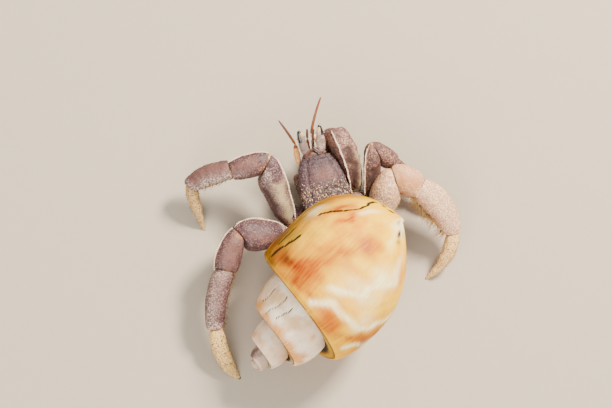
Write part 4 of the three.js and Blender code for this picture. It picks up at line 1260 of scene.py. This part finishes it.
def make_eyes(stalk_material, cornea_material):
    """Each eyestalk is a flattened rod. Its black cornea is a hook over the tip and down the
    outer side, and the rest of the tip stays pale."""
    pieces = (("eyestalk", -1, "eyestalk", stalk_material), ("cornea", 1, "eye", cornea_material))
    for side, head in HEAD.items():
        start, end = (np.array(head["stalk"][k], float) for k in ("from", "to"))
        rim = start * (1 - CORNEA_SHARE) + end * CORNEA_SHARE
        for name, facing, node_name, material in pieces:
            mould = Mould({**head["stalk"], "blunt": 0.35}, 120, 80)
            share, angle = mould.share, mould.angle
            outer = around(angle, head["outer"], 44) + 0 * share
            hook = ease((outer - 0.30) / 0.12) * ease((share - head["black_from"]) / 0.03)
            cap = ease((share - 0.925) / 0.02) * ease((around(angle, head["outer"], 120) - 0.30) / 0.12)
            black = np.maximum(hook, cap)
            mould.push(-0.05 + 0.05 * black + 0.02 * waves(mould.points, 0.9, 45) * (1 - black))
            mould.cut(rim, unit(end - start) * facing, clearance=0.0, cup=0.0)
            # The warm mask is the cream patch at the tip's inner side: the pale tip with a painted highlight
            # on it.
            warm = around(angle, 180 - head["outer"], 60) * ease((share - 0.72) / 0.15) * (1 - cap)
            shape = Shape()
            mould.add_to(shape, marks=np.stack([black, warm, head["whip"] + 0 * black, 0 * black], -1))
            shape.build(f"{name}_{side}_piece", material, name, f"{node_name}_{side}")


def ringed(form, rings, depth):
    """A rod with shallow rings: the radius falls by depth between even shares."""
    mould = Mould(form, 120, 24)
    saw = np.abs(np.sin(mould.share * math.pi * rings))
    mould.push(-depth * (1 - saw) ** 2 + 0 * mould.angle)
    return mould


def evenly(*widths):
    """A round section: the same stations for its width and its height."""
    return {"width": widths, "height": widths}


def make_feelers(material):
    """The antennae, each a jointed base and a ringed whip, the short jointed antennules, and
    the two small spines that cross between the eyestalks."""
    rod = {"square": 2, "blunt": 0.3}
    for side, head in HEAD.items():
        whip = {**head["flagellum"], **rod, "from": head["peduncle"]["to"], **evenly(0.80, 0.62, 0.55, 0.5)}
        palp = {**head["palp"], **rod, "from": head["antennule"]["to"], **evenly(0.6, 0.55, 0.5)}
        acicle = {**head["acicle"], **rod, "width": (0.6, 0.5, 0.2), "height": (0.4, 0.35, 0.2)}
        rows = (("antenna_base", head["peduncle"], 3, 0.13, 0.0),
                ("antenna", whip, 22, 0.05, 0.0),
                ("antennule_base", {**head["antennule"], **evenly(0.8, 0.7, 0.7)}, 2, 0.08, 1.0),
                ("antennule", palp, 9, 0.04, 1.0),
                ("acicle", acicle, 1, 0.02, 1.0))
        for name, form, rings, depth, redness in rows:
            mould = ringed(form, rings, depth)
            share = mould.share + 0 * mould.angle
            dark = {"antenna_base": 0.05 + 0.6 * head["whip"] * ease((share - 0.72) / 0.2),
                    "antenna": 0.50 + 0.25 * share + 0.5 * head["whip"] * ease((share - 0.1) / 0.3)}
            shape = Shape()
            mould.add_to(shape, marks=np.stack(np.broadcast_arrays(dark.get(name, 1.0), redness + 0 * share,
                                                                   0.0, 0.0), -1))
            nodes = () if name == "acicle" else (f"{name}_{side}",)
            shape.build(f"{name}_{side}_rod", material, "feeler", *nodes)


# ---------------------------------------------------------------- materials of the crab

# The crab's tones that the settings don't hold.
TONES = {
    "tip": (0.016, 0.009, 0.006, 1), "sand": (0.76, 0.48, 0.16, 1),
    "shield": (0.062, 0.026, 0.033, 1), "shield_pale": (0.12, 0.055, 0.052, 1),
    "shield_dark": (0.034, 0.015, 0.022, 1), "shield_grain": (0.21, 0.115, 0.115, 1),
    "shield_rose": (0.165, 0.057, 0.042, 1), "shield_valley": (0.030, 0.014, 0.018, 1),
    "shield_dot": (0.025, 0.012, 0.016, 1), "shield_speck": (0.035, 0.017, 0.022, 1),
    "shield_lip_shadow": (0.12, 0.12, 0.15, 1),
    "stalk_pale": (0.50, 0.35, 0.26, 1), "stalk_dim": (0.17, 0.115, 0.10, 1),
    "stalk_speck": (0.11, 0.075, 0.07, 1), "stalk_cream_highlight": (0.85, 0.52, 0.14, 1),
    "facet": (0.008, 0.007, 0.008, 1), "facet_valley": (0.003, 0.003, 0.004, 1),
    "peach": (0.80, 0.36, 0.10, 1), "feeler_brown": (0.075, 0.025, 0.012, 1),
    "feeler_red": (0.085, 0.022, 0.012, 1),
    "hair_brown": (0.035, 0.014, 0.008, 1), "hair_gold": (0.34, 0.17, 0.03, 1),
    "hair_root": (0.03, 0.012, 0.006, 1),
}

def plate_material(name, settings, ground, shade, paler, white):
    """Hard plate: two ground tones in clouds, grains with darker valleys between them, white
    beaded ridges, painted brown shade on the undersides, and tinted bands, with a dusting of sand."""
    material, tree, shader = new_material(name, Coat_Weight=0.03, Coat_Roughness=0.4, Specular_IOR_Level=0.3)
    place = millimetres(tree)
    ridge, under, smooth, sand = channels(tree, "marks")
    olive, orange, purple, ends = channels(tree, "tints")
    _, pale, tip, _ = channels(tree, "grain")
    cells = use_group(tree, granule_group(), Vector=place, Size=settings.granule / MM)
    grain, tone = cells["Height"], cells["Tone"]
    dust = use_group(tree, sand_group(), Vector=place, Amount=sand * 0.75)
    cloud = noise(tree, place, 2.6, 4.0, 0.6)
    mottle = noise(tree, place, 0.9, 4.0, 0.65)
    speck = noise(tree, place, 0.20, 2.0, 0.6)
    rough_part = 1 - smooth * 0.8
    colour = mix(tree, cloud.step(0.36, 0.64), ground, paler)
    colour = mix(tree, mottle.step(0.48, 0.72) * 0.55, colour, shade)
    colour = mix(tree, pale * (mottle * 0.4 + 0.7), colour, white)
    colour = mix(tree, purple * (mottle * 0.6 + 0.45), colour, tuple(settings.purple))
    colour = mix(tree, olive * (cloud * 0.2 + 0.8), colour, tuple(settings.olive))
    colour = mix(tree, smooth * 0.7, colour, tuple(settings.smooth))
    colour = mix(tree, orange * (mottle.step(0.3, 0.6) * 0.5 + 0.5), colour, tuple(settings.orange))
    # Painted shade: the under bands turn the undersides and shaded faces dark brown.
    colour = mix(tree, under * (cloud * 0.25 + 0.80), colour, tuple(settings.under))
    colour = mix(tree, grain.step(0.5, 0.0) * rough_part * (0.8 - olive * 0.6), colour, shade)
    tops = grain.step(0.5, 0.95) * tone.step(0.3, 0.8) * rough_part * (1 - under * 0.9)
    colour = mix(tree, tops * (1 - olive * 0.8) * (purple * 0.3 + 0.30), colour, white)
    colour = mix(tree, speck.step(0.56, 0.66) * rough_part * (0.5 - olive * 0.3), colour, shade)
    colour = mix(tree, ridge.step(0.45, 0.9) * (speck * 0.3 + 0.75), colour, tuple(settings.bead_colour))
    colour = mix(tree, ends * 0.30, colour, paler)
    colour = mix(tree, tip, colour, TONES["tip"])
    colour = mix(tree, sand.step(0.35, 1.0) * 0.85, colour, TONES["sand"])
    colour = mix(tree, dust["Mask"], colour, dust["Color"])
    rough = mottle * 0.18 + 0.45 + dust["Mask"] * 0.3
    height = mottle * 0.4 + grain * rough_part * 0.4 + dust["Height"] * 0.8
    finish_material(tree, shader, colour, rough, height, 0.09)
    return material


def shield_material(settings):
    """Shield: dense dark grains on brownish lavender, a smooth rosy centre, a painted bluish
    shadow of the shell's lip on its rear, and sand on its rear half."""
    material, tree, shader = new_material("carapace_shield", Coat_Weight=0.04, Coat_Roughness=0.4,
                                          Specular_IOR_Level=0.3)
    place = millimetres(tree)
    blue, dark, smooth, sand = channels(tree, "marks")
    cells = use_group(tree, granule_group(), Vector=place, Size=0.9 * settings.granule / MM)
    grain, tone = cells["Height"], cells["Tone"]
    dust = use_group(tree, sand_group(), Vector=place, Amount=sand)
    cloud = noise(tree, place, 1.8, 4.0, 0.6)
    mottle = noise(tree, place, 0.45, 3.0, 0.65)
    speck = noise(tree, place, 0.20, 2.0, 0.6)
    rough_part = 1 - smooth * 0.85
    colour = mix(tree, cloud.step(0.38, 0.62), TONES["shield"], TONES["shield_pale"])
    colour = mix(tree, dark * 0.9, colour, TONES["shield_dark"])
    pale_cells = tone.step(0.45, 0.75) * rough_part * (1 - dark * 0.3)
    colour = mix(tree, pale_cells * 0.75, colour, TONES["shield_grain"])
    colour = mix(tree, smooth * 0.85, colour, TONES["shield_rose"])
    colour = mix(tree, grain.step(0.5, 0.0) * rough_part * 0.85, colour, TONES["shield_valley"])
    colour = mix(tree, tone.step(0.80, 0.86) * rough_part * 0.9, colour, TONES["shield_dot"])
    colour = mix(tree, speck.step(0.56, 0.68) * rough_part * 0.6, colour, TONES["shield_speck"])
    # Painted bluish shadow of the shell's lip on the shield's rear.
    colour = mix(tree, blue * 0.6, colour, TONES["shield_lip_shadow"])
    colour = mix(tree, dust["Mask"], colour, dust["Color"])
    height = mottle * 0.35 + grain * rough_part * 0.5 + dust["Height"] * 0.7
    finish_material(tree, shader, colour, mottle * 0.2 + 0.45, height, 0.09)
    return material


def skin_material(name, pale, deep):
    """Soft skin between plates: creased, a little wet."""
    material, tree, shader = new_material(name, Coat_Weight=0.12, Coat_Roughness=0.3, Specular_IOR_Level=0.35)
    place = millimetres(tree)
    crease = noise(tree, place, 0.35, 4.0, 0.6)
    cloud = noise(tree, place, 1.6, 3.0)
    colour = mix(tree, cloud.step(0.35, 0.65), pale, deep)
    colour = mix(tree, crease.step(0.45, 0.3) * 0.5, colour, deep)
    finish_material(tree, shader, colour, crease * 0.2 + 0.4, crease, 0.08)
    return material


def eye_material(name, settings, coat):
    """Eyestalk or cornea: pale grey with fine specks, a cream patch at the tip's inner side that is
    the pale tip with a painted highlight on it, and glossy black facets where the piece's hook lies."""
    material, tree, shader = new_material(name, Coat_Weight=coat, Coat_Roughness=0.08)
    place = millimetres(tree)
    black, warm, dim, _ = channels(tree, "marks")
    speck = noise(tree, place, 0.22, 3.0, 0.7)
    cloud = noise(tree, place, 1.0, 3.0)
    facets = use_group(tree, granule_group(), Vector=place, Size=0.10)
    paler = mix(tree, dim, TONES["stalk_pale"], TONES["stalk_dim"])
    colour = mix(tree, cloud.step(0.38, 0.62), tuple(settings.stalk), paler)
    colour = mix(tree, speck.step(0.54, 0.64) * 0.6, colour, TONES["stalk_speck"])
    # Painted highlight: the cream patch on the pale tip's inner side.
    colour = mix(tree, warm * 0.85, colour, TONES["stalk_cream_highlight"])
    dark = mix(tree, facets["Valley"], TONES["facet"], TONES["facet_valley"])
    colour = mix(tree, black.step(0.45, 0.55), colour, dark)
    rough = (speck * 0.15 + 0.42) - black * 0.3
    finish_material(tree, shader, colour, rough, speck * (1 - black), 0.03)
    return material


def feeler_material(settings):
    """Feelers: peach at the base, orange further out, red-brown antennules, ringed darker."""
    material, tree, shader = new_material("feeler_rod", Coat_Weight=0.08, Coat_Roughness=0.3)
    place = millimetres(tree)
    depth, redness, *_ = channels(tree, "marks")
    grain = noise(tree, place, 0.3, 3.0)
    colour = mix(tree, depth.step(0.0, 0.5), TONES["peach"], tuple(settings.feeler))
    colour = mix(tree, depth.step(0.6, 1.0) * 0.85, colour, TONES["feeler_brown"])
    colour = mix(tree, redness * (grain * 0.3 + 0.8), colour, TONES["feeler_red"])
    finish_material(tree, shader, colour, grain * 0.2 + 0.35, grain, 0.03)
    return material


def bristle_material(settings):
    """Bristles: straw to brown, darker at the root."""
    material, tree, shader = new_material("bristle", Coat_Weight=0.05, Coat_Roughness=0.35)
    tone, share, gold, _ = channels(tree, "hair")
    brown = mix(tree, gold, TONES["hair_brown"], TONES["hair_gold"])
    colour = mix(tree, (1 - tone) * (gold * 0.6 + 0.4), brown, tuple(settings.bristle))
    colour = mix(tree, share.step(0.35, 0.0) * 0.6, colour, TONES["hair_root"])
    finish_material(tree, shader, colour, tone * 0.2 + 0.4)
    return material


# ---------------------------------------------------------------- bristles

# Limb, part, angle, spread in degrees, start and end shares, how many, length, lean to the
# tip, and how golden.
BRISTLE_ROWS = [
    ("leg_3_right", "propodus", 184, 14, 0.02, 0.9, 190, (1.6, 2.9), 0.35, 1.0),
    ("leg_3_right", "carpus", 190, 20, 0.3, 0.95, 50, (0.8, 1.8), 0.5, 1.0),
    ("leg_3_left", "propodus", 352, 20, 0.05, 0.95, 190, (0.7, 1.5), 0.8, 0.1),
    ("leg_3_left", "carpus", 350, 22, 0.3, 0.95, 40, (0.5, 1.1), 0.8, 0.2),
    ("leg_2_left", "propodus", 350, 24, 0.2, 0.95, 70, (0.5, 1.2), 0.8, 0.4),
    ("leg_2_left", "merus", 215, 22, 0.0, 0.45, 90, (0.8, 1.7), 0.4, 0.2),
    ("leg_2_left", "coxa", 180, 60, 0.0, 1.0, 90, (0.8, 1.8), 0.2, 0.1),
    ("claw_right", "merus", 340, 18, 0.05, 0.9, 50, (0.5, 1.0), 0.5, 0.1),
    ("claw_right", "merus", 185, 14, 0.0, 0.5, 40, (0.6, 1.2), 0.4, 0.1),
    ("leg_2_right", "merus", 90, 40, 0.0, 0.35, 50, (0.5, 1.1), 0.4, 0.1),
    ("leg_2_right", "propodus", 180, 30, 0.2, 0.95, 40, (0.5, 1.1), 0.8, 0.5),
    ("leg_3_right", "merus", 160, 18, 0.1, 0.9, 40, (0.4, 0.8), 0.5, 0.7),
]
DACTYL_BRISTLES = 110


def make_bristles(material, settings):
    """Stiff hairs in rows along the plates' margins and round the last segments. On the
    OFBake map each limb is a column and each segment a cell, in which a root's place is its
    angle round the segment and its share along it."""
    shape = Shape()
    rows = list(BRISTLE_ROWS)
    for limb in ("leg_2_left", "leg_3_left", "leg_3_right", "leg_2_right"):
        for angle in (0, 45, 135, 180, 225, 315):
            rows.append((limb, "dactyl", angle, 10, 0.08, 0.86, DACTYL_BRISTLES // 6, (0.35, 0.8), 1.3, 0.5))
    scale = settings.bristle_length
    for number, (limb, part, angle, spread, start, end, count, (short, long), lean, gold) in enumerate(rows):
        rng = np.random.default_rng(900 + number)
        index = limb_parts(limb).index(part)
        mould = segment_mould(limb, index, rows=60, columns=24)[0]
        shares = rng.uniform(start, end, count)
        angles = np.radians(angle + rng.normal(0, spread, count))
        roots, out = surface_roots(mould, shares, angles, -0.2)
        way = out + lean * mould.way(shares) + 0.18 * rng.normal(size=(count, 3))
        lengths = scale * rng.uniform(short, long, count)
        droop = np.array([0.0, 0.0, -0.15]) + 0.12 * rng.normal(size=(count, 3))
        cell = np.array([list(LIMBS).index(limb) / len(LIMBS), index / len(LEG_PARTS)])
        inside = np.stack([angles / FULL_TURN % 1 / len(LIMBS), shares / len(LEG_PARTS)], -1)
        add_bristles(shape, roots, way, lengths, droop, cell + 0.96 * inside, gold)
    return shape.build("bristles", material, "leg_plate")


# ---------------------------------------------------------------- stage

CAMERA_DISTANCE = 600.00525
CAMERA_TILT = math.radians(15)
CAMERA_TOWARD = math.radians(225)
CAMERA_TURN = math.radians(162)
CAMERA_LENS = 160.43


def camera_axes():
    """Right, up and forward of a camera that looks straight down, then leans by the least
    turn that takes down to its line of sight, and is turned round the upright."""
    lean, level = math.cos(CAMERA_TILT), math.sin(CAMERA_TILT)
    away = -np.array([level * math.cos(CAMERA_TOWARD), level * math.sin(CAMERA_TOWARD), lean])
    down = np.array([0.0, 0.0, -1.0])
    pivot = unit(np.cross(down, away))
    cross = np.array([[0, -pivot[2], pivot[1]], [pivot[2], 0, -pivot[0]], [-pivot[1], pivot[0], 0]])
    turn = np.eye(3) + level * cross + (1 - lean) * cross @ cross
    cosine, sine = math.cos(CAMERA_TURN), math.sin(CAMERA_TURN)
    spin = np.array([[cosine, -sine, 0], [sine, cosine, 0], [0, 0, 1.0]])
    return spin @ turn @ np.eye(3)[0], spin @ turn @ np.eye(3)[1], spin @ away


def put_at(thing, right, up, back, place):
    """Links a camera or light to the scene, at a place in metres and with its own axes along
    three directions."""
    bpy.context.scene.collection.objects.link(thing)
    matrix = Matrix.Identity(4)
    for column, axis in enumerate((right, up, back, place)):
        for row in range(3):
            matrix[row][column] = axis[row]
    thing.matrix_world = matrix


def make_camera(settings):
    """The camera over the crab's left rear, looking down."""
    right, up, forward = camera_axes()
    data = bpy.data.cameras.new("view")
    data.lens, data.sensor_width = settings.lens, 36.0
    data.clip_start, data.clip_end = 0.01, 20.0
    camera = bpy.data.objects.new("view", data)
    put_at(camera, right, up, -forward, (-forward * CAMERA_DISTANCE - MIDDLE) * MM)
    bpy.context.scene.camera = camera


def make_floor(settings):
    """A flat pale floor, far wider than the crab."""
    half = settings.floor_half
    mesh = bpy.data.meshes.new("floor")
    corners = [(-half, -half, 0), (half, -half, 0), (half, half, 0), (-half, half, 0)]
    mesh.from_pydata(corners, [], [(0, 1, 2, 3)])
    floor = bpy.data.objects.new("floor", mesh)
    bpy.context.scene.collection.objects.link(floor)
    material, tree, shader = new_material("studio_floor")
    grain = noise(tree, millimetres(tree), 2.5, 2.0)
    pale = tuple(settings.floor_colour)
    darker = tuple(0.96 * part for part in pale[:3]) + (1,)
    finish_material(tree, shader, mix(tree, grain, pale, darker), 0.8)
    mesh.materials.append(material)


def make_light(name, place, size, power, colour):
    """A square soft light at a place in metres, aimed at the crab."""
    data = bpy.data.lights.new(name, "AREA")
    data.size, data.energy, data.color = size, power, colour
    back = unit(np.array(place))
    right = unit(np.cross(UP, back))
    put_at(bpy.data.objects.new(name, data), right, np.cross(back, right), back, place)


def make_lights(settings):
    """A warm main light ahead and to the crab's right, a cool fill behind, and an even sky."""
    make_light("main_light", (-0.30, -0.20, 0.42), 0.13, settings.main_power, (1.0, 0.92, 0.79))
    make_light("fill_light", (0.35, 0.30, 0.40), 0.40, settings.fill_power, (1.0, 0.98, 0.95))
    world = bpy.data.worlds.new("studio")
    world.use_nodes = True
    background = world.node_tree.nodes["Background"]
    background.inputs["Color"].default_value = (1.0, 0.97, 0.92, 1)
    background.inputs["Strength"].default_value = settings.sky
    bpy.context.scene.world = world


# ---------------------------------------------------------------- settings

def colour_setting(name, description, *rgb):
    """A colour that a user can change."""
    return bpy.props.FloatVectorProperty(
        name=name, description=description, subtype="COLOR", size=4, min=0, max=1, default=(*rgb, 1.0))


def length_setting(name, description, millimetre_value):
    """A length that a user can change, in metres."""
    return bpy.props.FloatProperty(
        name=name, description=description, default=millimetre_value * MM, min=0, unit="LENGTH")


def number_setting(name, description, value, low, high):
    """A plain number that a user can change."""
    return bpy.props.FloatProperty(name=name, description=description, default=value, min=low, max=high)


class HermitWhelkSettings(bpy.types.PropertyGroup):
    """Sizes and colours of the whelk shell."""
    wall: length_setting("Wall", "Thickness of the wall at the body whorl", 1.2)
    cream: colour_setting("Cream", "Ground colour of the body whorl", 0.90, 0.53, 0.010)
    honey: colour_setting("Honey", "Second ground colour, in clouds", 0.68, 0.235, 0.001)
    orange: colour_setting("Orange", "Colour of the wide flames", 0.38, 0.065, 0.001)
    flame: colour_setting("Flame", "Colour of the hottest flames", 0.24, 0.020, 0.001)
    gold: colour_setting("Gold", "Colour of the yellow clouds", 0.94, 0.56, 0.002)
    white: colour_setting("White", "Colour of the zigzags", 0.98, 0.88, 0.50)


class HermitStageSettings(bpy.types.PropertyGroup):
    """The floor, the lights and the camera."""
    floor_half: bpy.props.FloatProperty(name="Floor", description="Half of the floor's side", default=1.5,
                                        min=0.2, unit="LENGTH")
    floor_colour: colour_setting("Floor colour", "Colour of the plain floor", 0.42, 0.35, 0.27)
    main_power: number_setting("Main light", "Power of the main light in watts", 11.0, 0, 100)
    fill_power: number_setting("Fill light", "Power of the fill light in watts", 5.0, 0, 100)
    sky: number_setting("Sky", "Strength of the even light from all round", 0.90, 0, 5)
    lens: number_setting("Lens", "Focal length for a sensor 36 mm wide", CAMERA_LENS, 20, 400)


class HermitCrabSettings(bpy.types.PropertyGroup):
    """Sizes and colours of the crab's plates, eyes, feelers and bristles."""
    granule: length_setting("Granule", "Width of one granule on the plates", 0.32)
    bead: length_setting("Bead", "Width of one bead on a ridge", 0.34)
    bristle_length: number_setting("Bristle length", "Share of the usual length of the bristles", 1.0, 0.1, 3)
    bead_colour: colour_setting("Beads", "Colour of the beaded ridges", 0.92, 0.70, 0.52)
    lavender: colour_setting("Lavender", "Ground colour of the left legs", 0.135, 0.062, 0.053)
    blush: colour_setting("Blush", "Paler colour of the left legs", 0.22, 0.105, 0.088)
    pearl: colour_setting("Pearl", "Ground colour of the right legs", 0.76, 0.42, 0.20)
    purple: colour_setting("Purple", "Colour of the purple bands", 0.075, 0.027, 0.037)
    olive: colour_setting("Olive", "Colour of the olive faces", 0.40, 0.30, 0.16)
    smooth: colour_setting("Smooth", "Colour of the smooth middle of a plate", 0.145, 0.060, 0.044)
    orange: colour_setting("Orange", "Colour of the orange patches", 0.52, 0.17, 0.03)
    under: colour_setting("Under", "Colour of the shaded faces", 0.034, 0.0125, 0.005)
    stalk: colour_setting("Eyestalk", "Ground colour of the eyestalks", 0.22, 0.145, 0.112)
    feeler: colour_setting("Feeler", "Colour of the antennae", 0.20, 0.050, 0.005)
    bristle: colour_setting("Bristle", "Colour of the paler bristles", 0.48, 0.26, 0.045)


MATERIALS = {}


def crab_materials(settings):
    """The crab's three plate materials by name, made once, each with its name, ground, shade,
    paler tone and white."""
    if not MATERIALS:
        rows = {"leg": ("leg_plate_lavender", tuple(settings.lavender), (0.038, 0.016, 0.020, 1),
                        tuple(settings.blush), (0.66, 0.46, 0.37, 1)),
                "pale": ("leg_plate_pearl", tuple(settings.pearl), (0.36, 0.16, 0.09, 1),
                         (0.90, 0.54, 0.28, 1), (0.98, 0.74, 0.50, 1)),
                "claw": ("claw_plate", (0.21, 0.10, 0.075, 1), (0.045, 0.020, 0.018, 1),
                         (0.33, 0.155, 0.11, 1), (0.54, 0.28, 0.20, 1))}
        for key, (name, *tones) in rows.items():
            MATERIALS[key] = plate_material(name, settings, *tones)
    return MATERIALS


class HERMIT_OT_whelk(bpy.types.Operator):
    """Build the whelk shell: whorls, tip and pillar"""
    bl_idname = "hermit.whelk"
    bl_label = "Whelk shell"

    def execute(self, context):
        settings = context.scene.hermit_whelk
        make_whelk(settings, whelk_material(settings))
        return {"FINISHED"}


class HERMIT_OT_shield(bpy.types.Operator):
    """Build the shield of the carapace"""
    bl_idname = "hermit.shield"
    bl_label = "Shield"

    def execute(self, context):
        make_shield(shield_material(context.scene.hermit_crab))
        return {"FINISHED"}


class HERMIT_OT_soft_body(bpy.types.Operator):
    """Build the thorax, the abdomen and the skin of the joints"""
    bl_idname = "hermit.soft_body"
    bl_label = "Soft body"

    def execute(self, context):
        make_soft_body(skin_material("body_skin", (0.11, 0.042, 0.022, 1), (0.035, 0.013, 0.008, 1)))
        make_joint_skin(skin_material("joint_skin", (0.60, 0.34, 0.15, 1), (0.20, 0.07, 0.025, 1)))
        return {"FINISHED"}


def make_limbs(settings, kind):
    """The plates of all legs or of both claws, and the claws' fingers."""
    materials = crab_materials(settings)
    for name, limb in LIMBS.items():
        if name.startswith(kind):
            for index in range(len(limb_parts(name))):
                make_segment(name, index, materials[limb["tone"]], settings)
            if kind == "claw":
                make_finger(name, materials[limb["tone"]])


class HERMIT_OT_legs(bpy.types.Operator):
    """Build the plates of the four walking legs"""
    bl_idname = "hermit.legs"
    bl_label = "Walking legs"

    def execute(self, context):
        make_limbs(context.scene.hermit_crab, "leg")
        return {"FINISHED"}


class HERMIT_OT_claws(bpy.types.Operator):
    """Build the plates and fingers of the two claws"""
    bl_idname = "hermit.claws"
    bl_label = "Claws"

    def execute(self, context):
        make_limbs(context.scene.hermit_crab, "claw")
        return {"FINISHED"}


class HERMIT_OT_small_legs(bpy.types.Operator):
    """Build the mouth legs and the short rear legs"""
    bl_idname = "hermit.small_legs"
    bl_label = "Mouth and rear legs"

    def execute(self, context):
        materials = crab_materials(context.scene.hermit_crab)
        make_mouth_and_rear_legs(materials["pale"], materials["claw"])
        return {"FINISHED"}


class HERMIT_OT_eyes(bpy.types.Operator):
    """Build the eyestalks and corneas"""
    bl_idname = "hermit.eyes"
    bl_label = "Eyes"

    def execute(self, context):
        settings = context.scene.hermit_crab
        make_eyes(eye_material("eyestalk_skin", settings, 0.1), eye_material("cornea_gloss", settings, 0.5))
        return {"FINISHED"}


class HERMIT_OT_feelers(bpy.types.Operator):
    """Build the antennae and antennules"""
    bl_idname = "hermit.feelers"
    bl_label = "Feelers"

    def execute(self, context):
        make_feelers(feeler_material(context.scene.hermit_crab))
        return {"FINISHED"}


class HERMIT_OT_bristles(bpy.types.Operator):
    """Build the bristles of the legs and claws"""
    bl_idname = "hermit.bristles"
    bl_label = "Bristles"

    def execute(self, context):
        settings = context.scene.hermit_crab
        make_bristles(bristle_material(settings), settings)
        return {"FINISHED"}


class HERMIT_OT_stage(bpy.types.Operator):
    """Build the floor, the lights and the camera"""
    bl_idname = "hermit.stage"
    bl_label = "Stage"

    def execute(self, context):
        settings = context.scene.hermit_stage
        make_camera(settings)
        make_floor(settings)
        make_lights(settings)
        return {"FINISHED"}


SETTINGS = {"hermit_whelk": HermitWhelkSettings, "hermit_crab": HermitCrabSettings,
            "hermit_stage": HermitStageSettings}
OPERATORS = (HERMIT_OT_whelk, HERMIT_OT_shield, HERMIT_OT_soft_body, HERMIT_OT_legs, HERMIT_OT_claws,
             HERMIT_OT_small_legs, HERMIT_OT_eyes, HERMIT_OT_feelers, HERMIT_OT_bristles, HERMIT_OT_stage)


class HERMIT_PT_panel(bpy.types.Panel):
    """The crab's settings and the steps that build it"""
    bl_idname = "HERMIT_PT_panel"
    bl_label = "Hermit crab"
    bl_space_type = "VIEW_3D"
    bl_region_type = "UI"
    bl_category = "Hermit crab"

    def draw(self, context):
        for name, kind in SETTINGS.items():
            for key in kind.__annotations__:
                self.layout.prop(getattr(context.scene, name), key)
        for kind in OPERATORS:
            self.layout.operator(kind.bl_idname)


def register():
    """Registers the classes and hangs the settings on the scene."""
    for kind in (*SETTINGS.values(), *OPERATORS, HERMIT_PT_panel):
        bpy.utils.register_class(kind)
    for name, kind in SETTINGS.items():
        setattr(bpy.types.Scene, name, bpy.props.PointerProperty(type=kind))


def unregister():
    """Takes the settings and the classes away again."""
    for name in SETTINGS:
        delattr(bpy.types.Scene, name)
    for kind in (HERMIT_PT_panel, *reversed(OPERATORS), *SETTINGS.values()):
        bpy.utils.unregister_class(kind)


def main():
    """Builds every piece in order."""
    register()
    for kind in OPERATORS:
        area, name = kind.bl_idname.split(".")
        getattr(getattr(bpy.ops, area), name)()


if __name__ == "__main__":
    main()
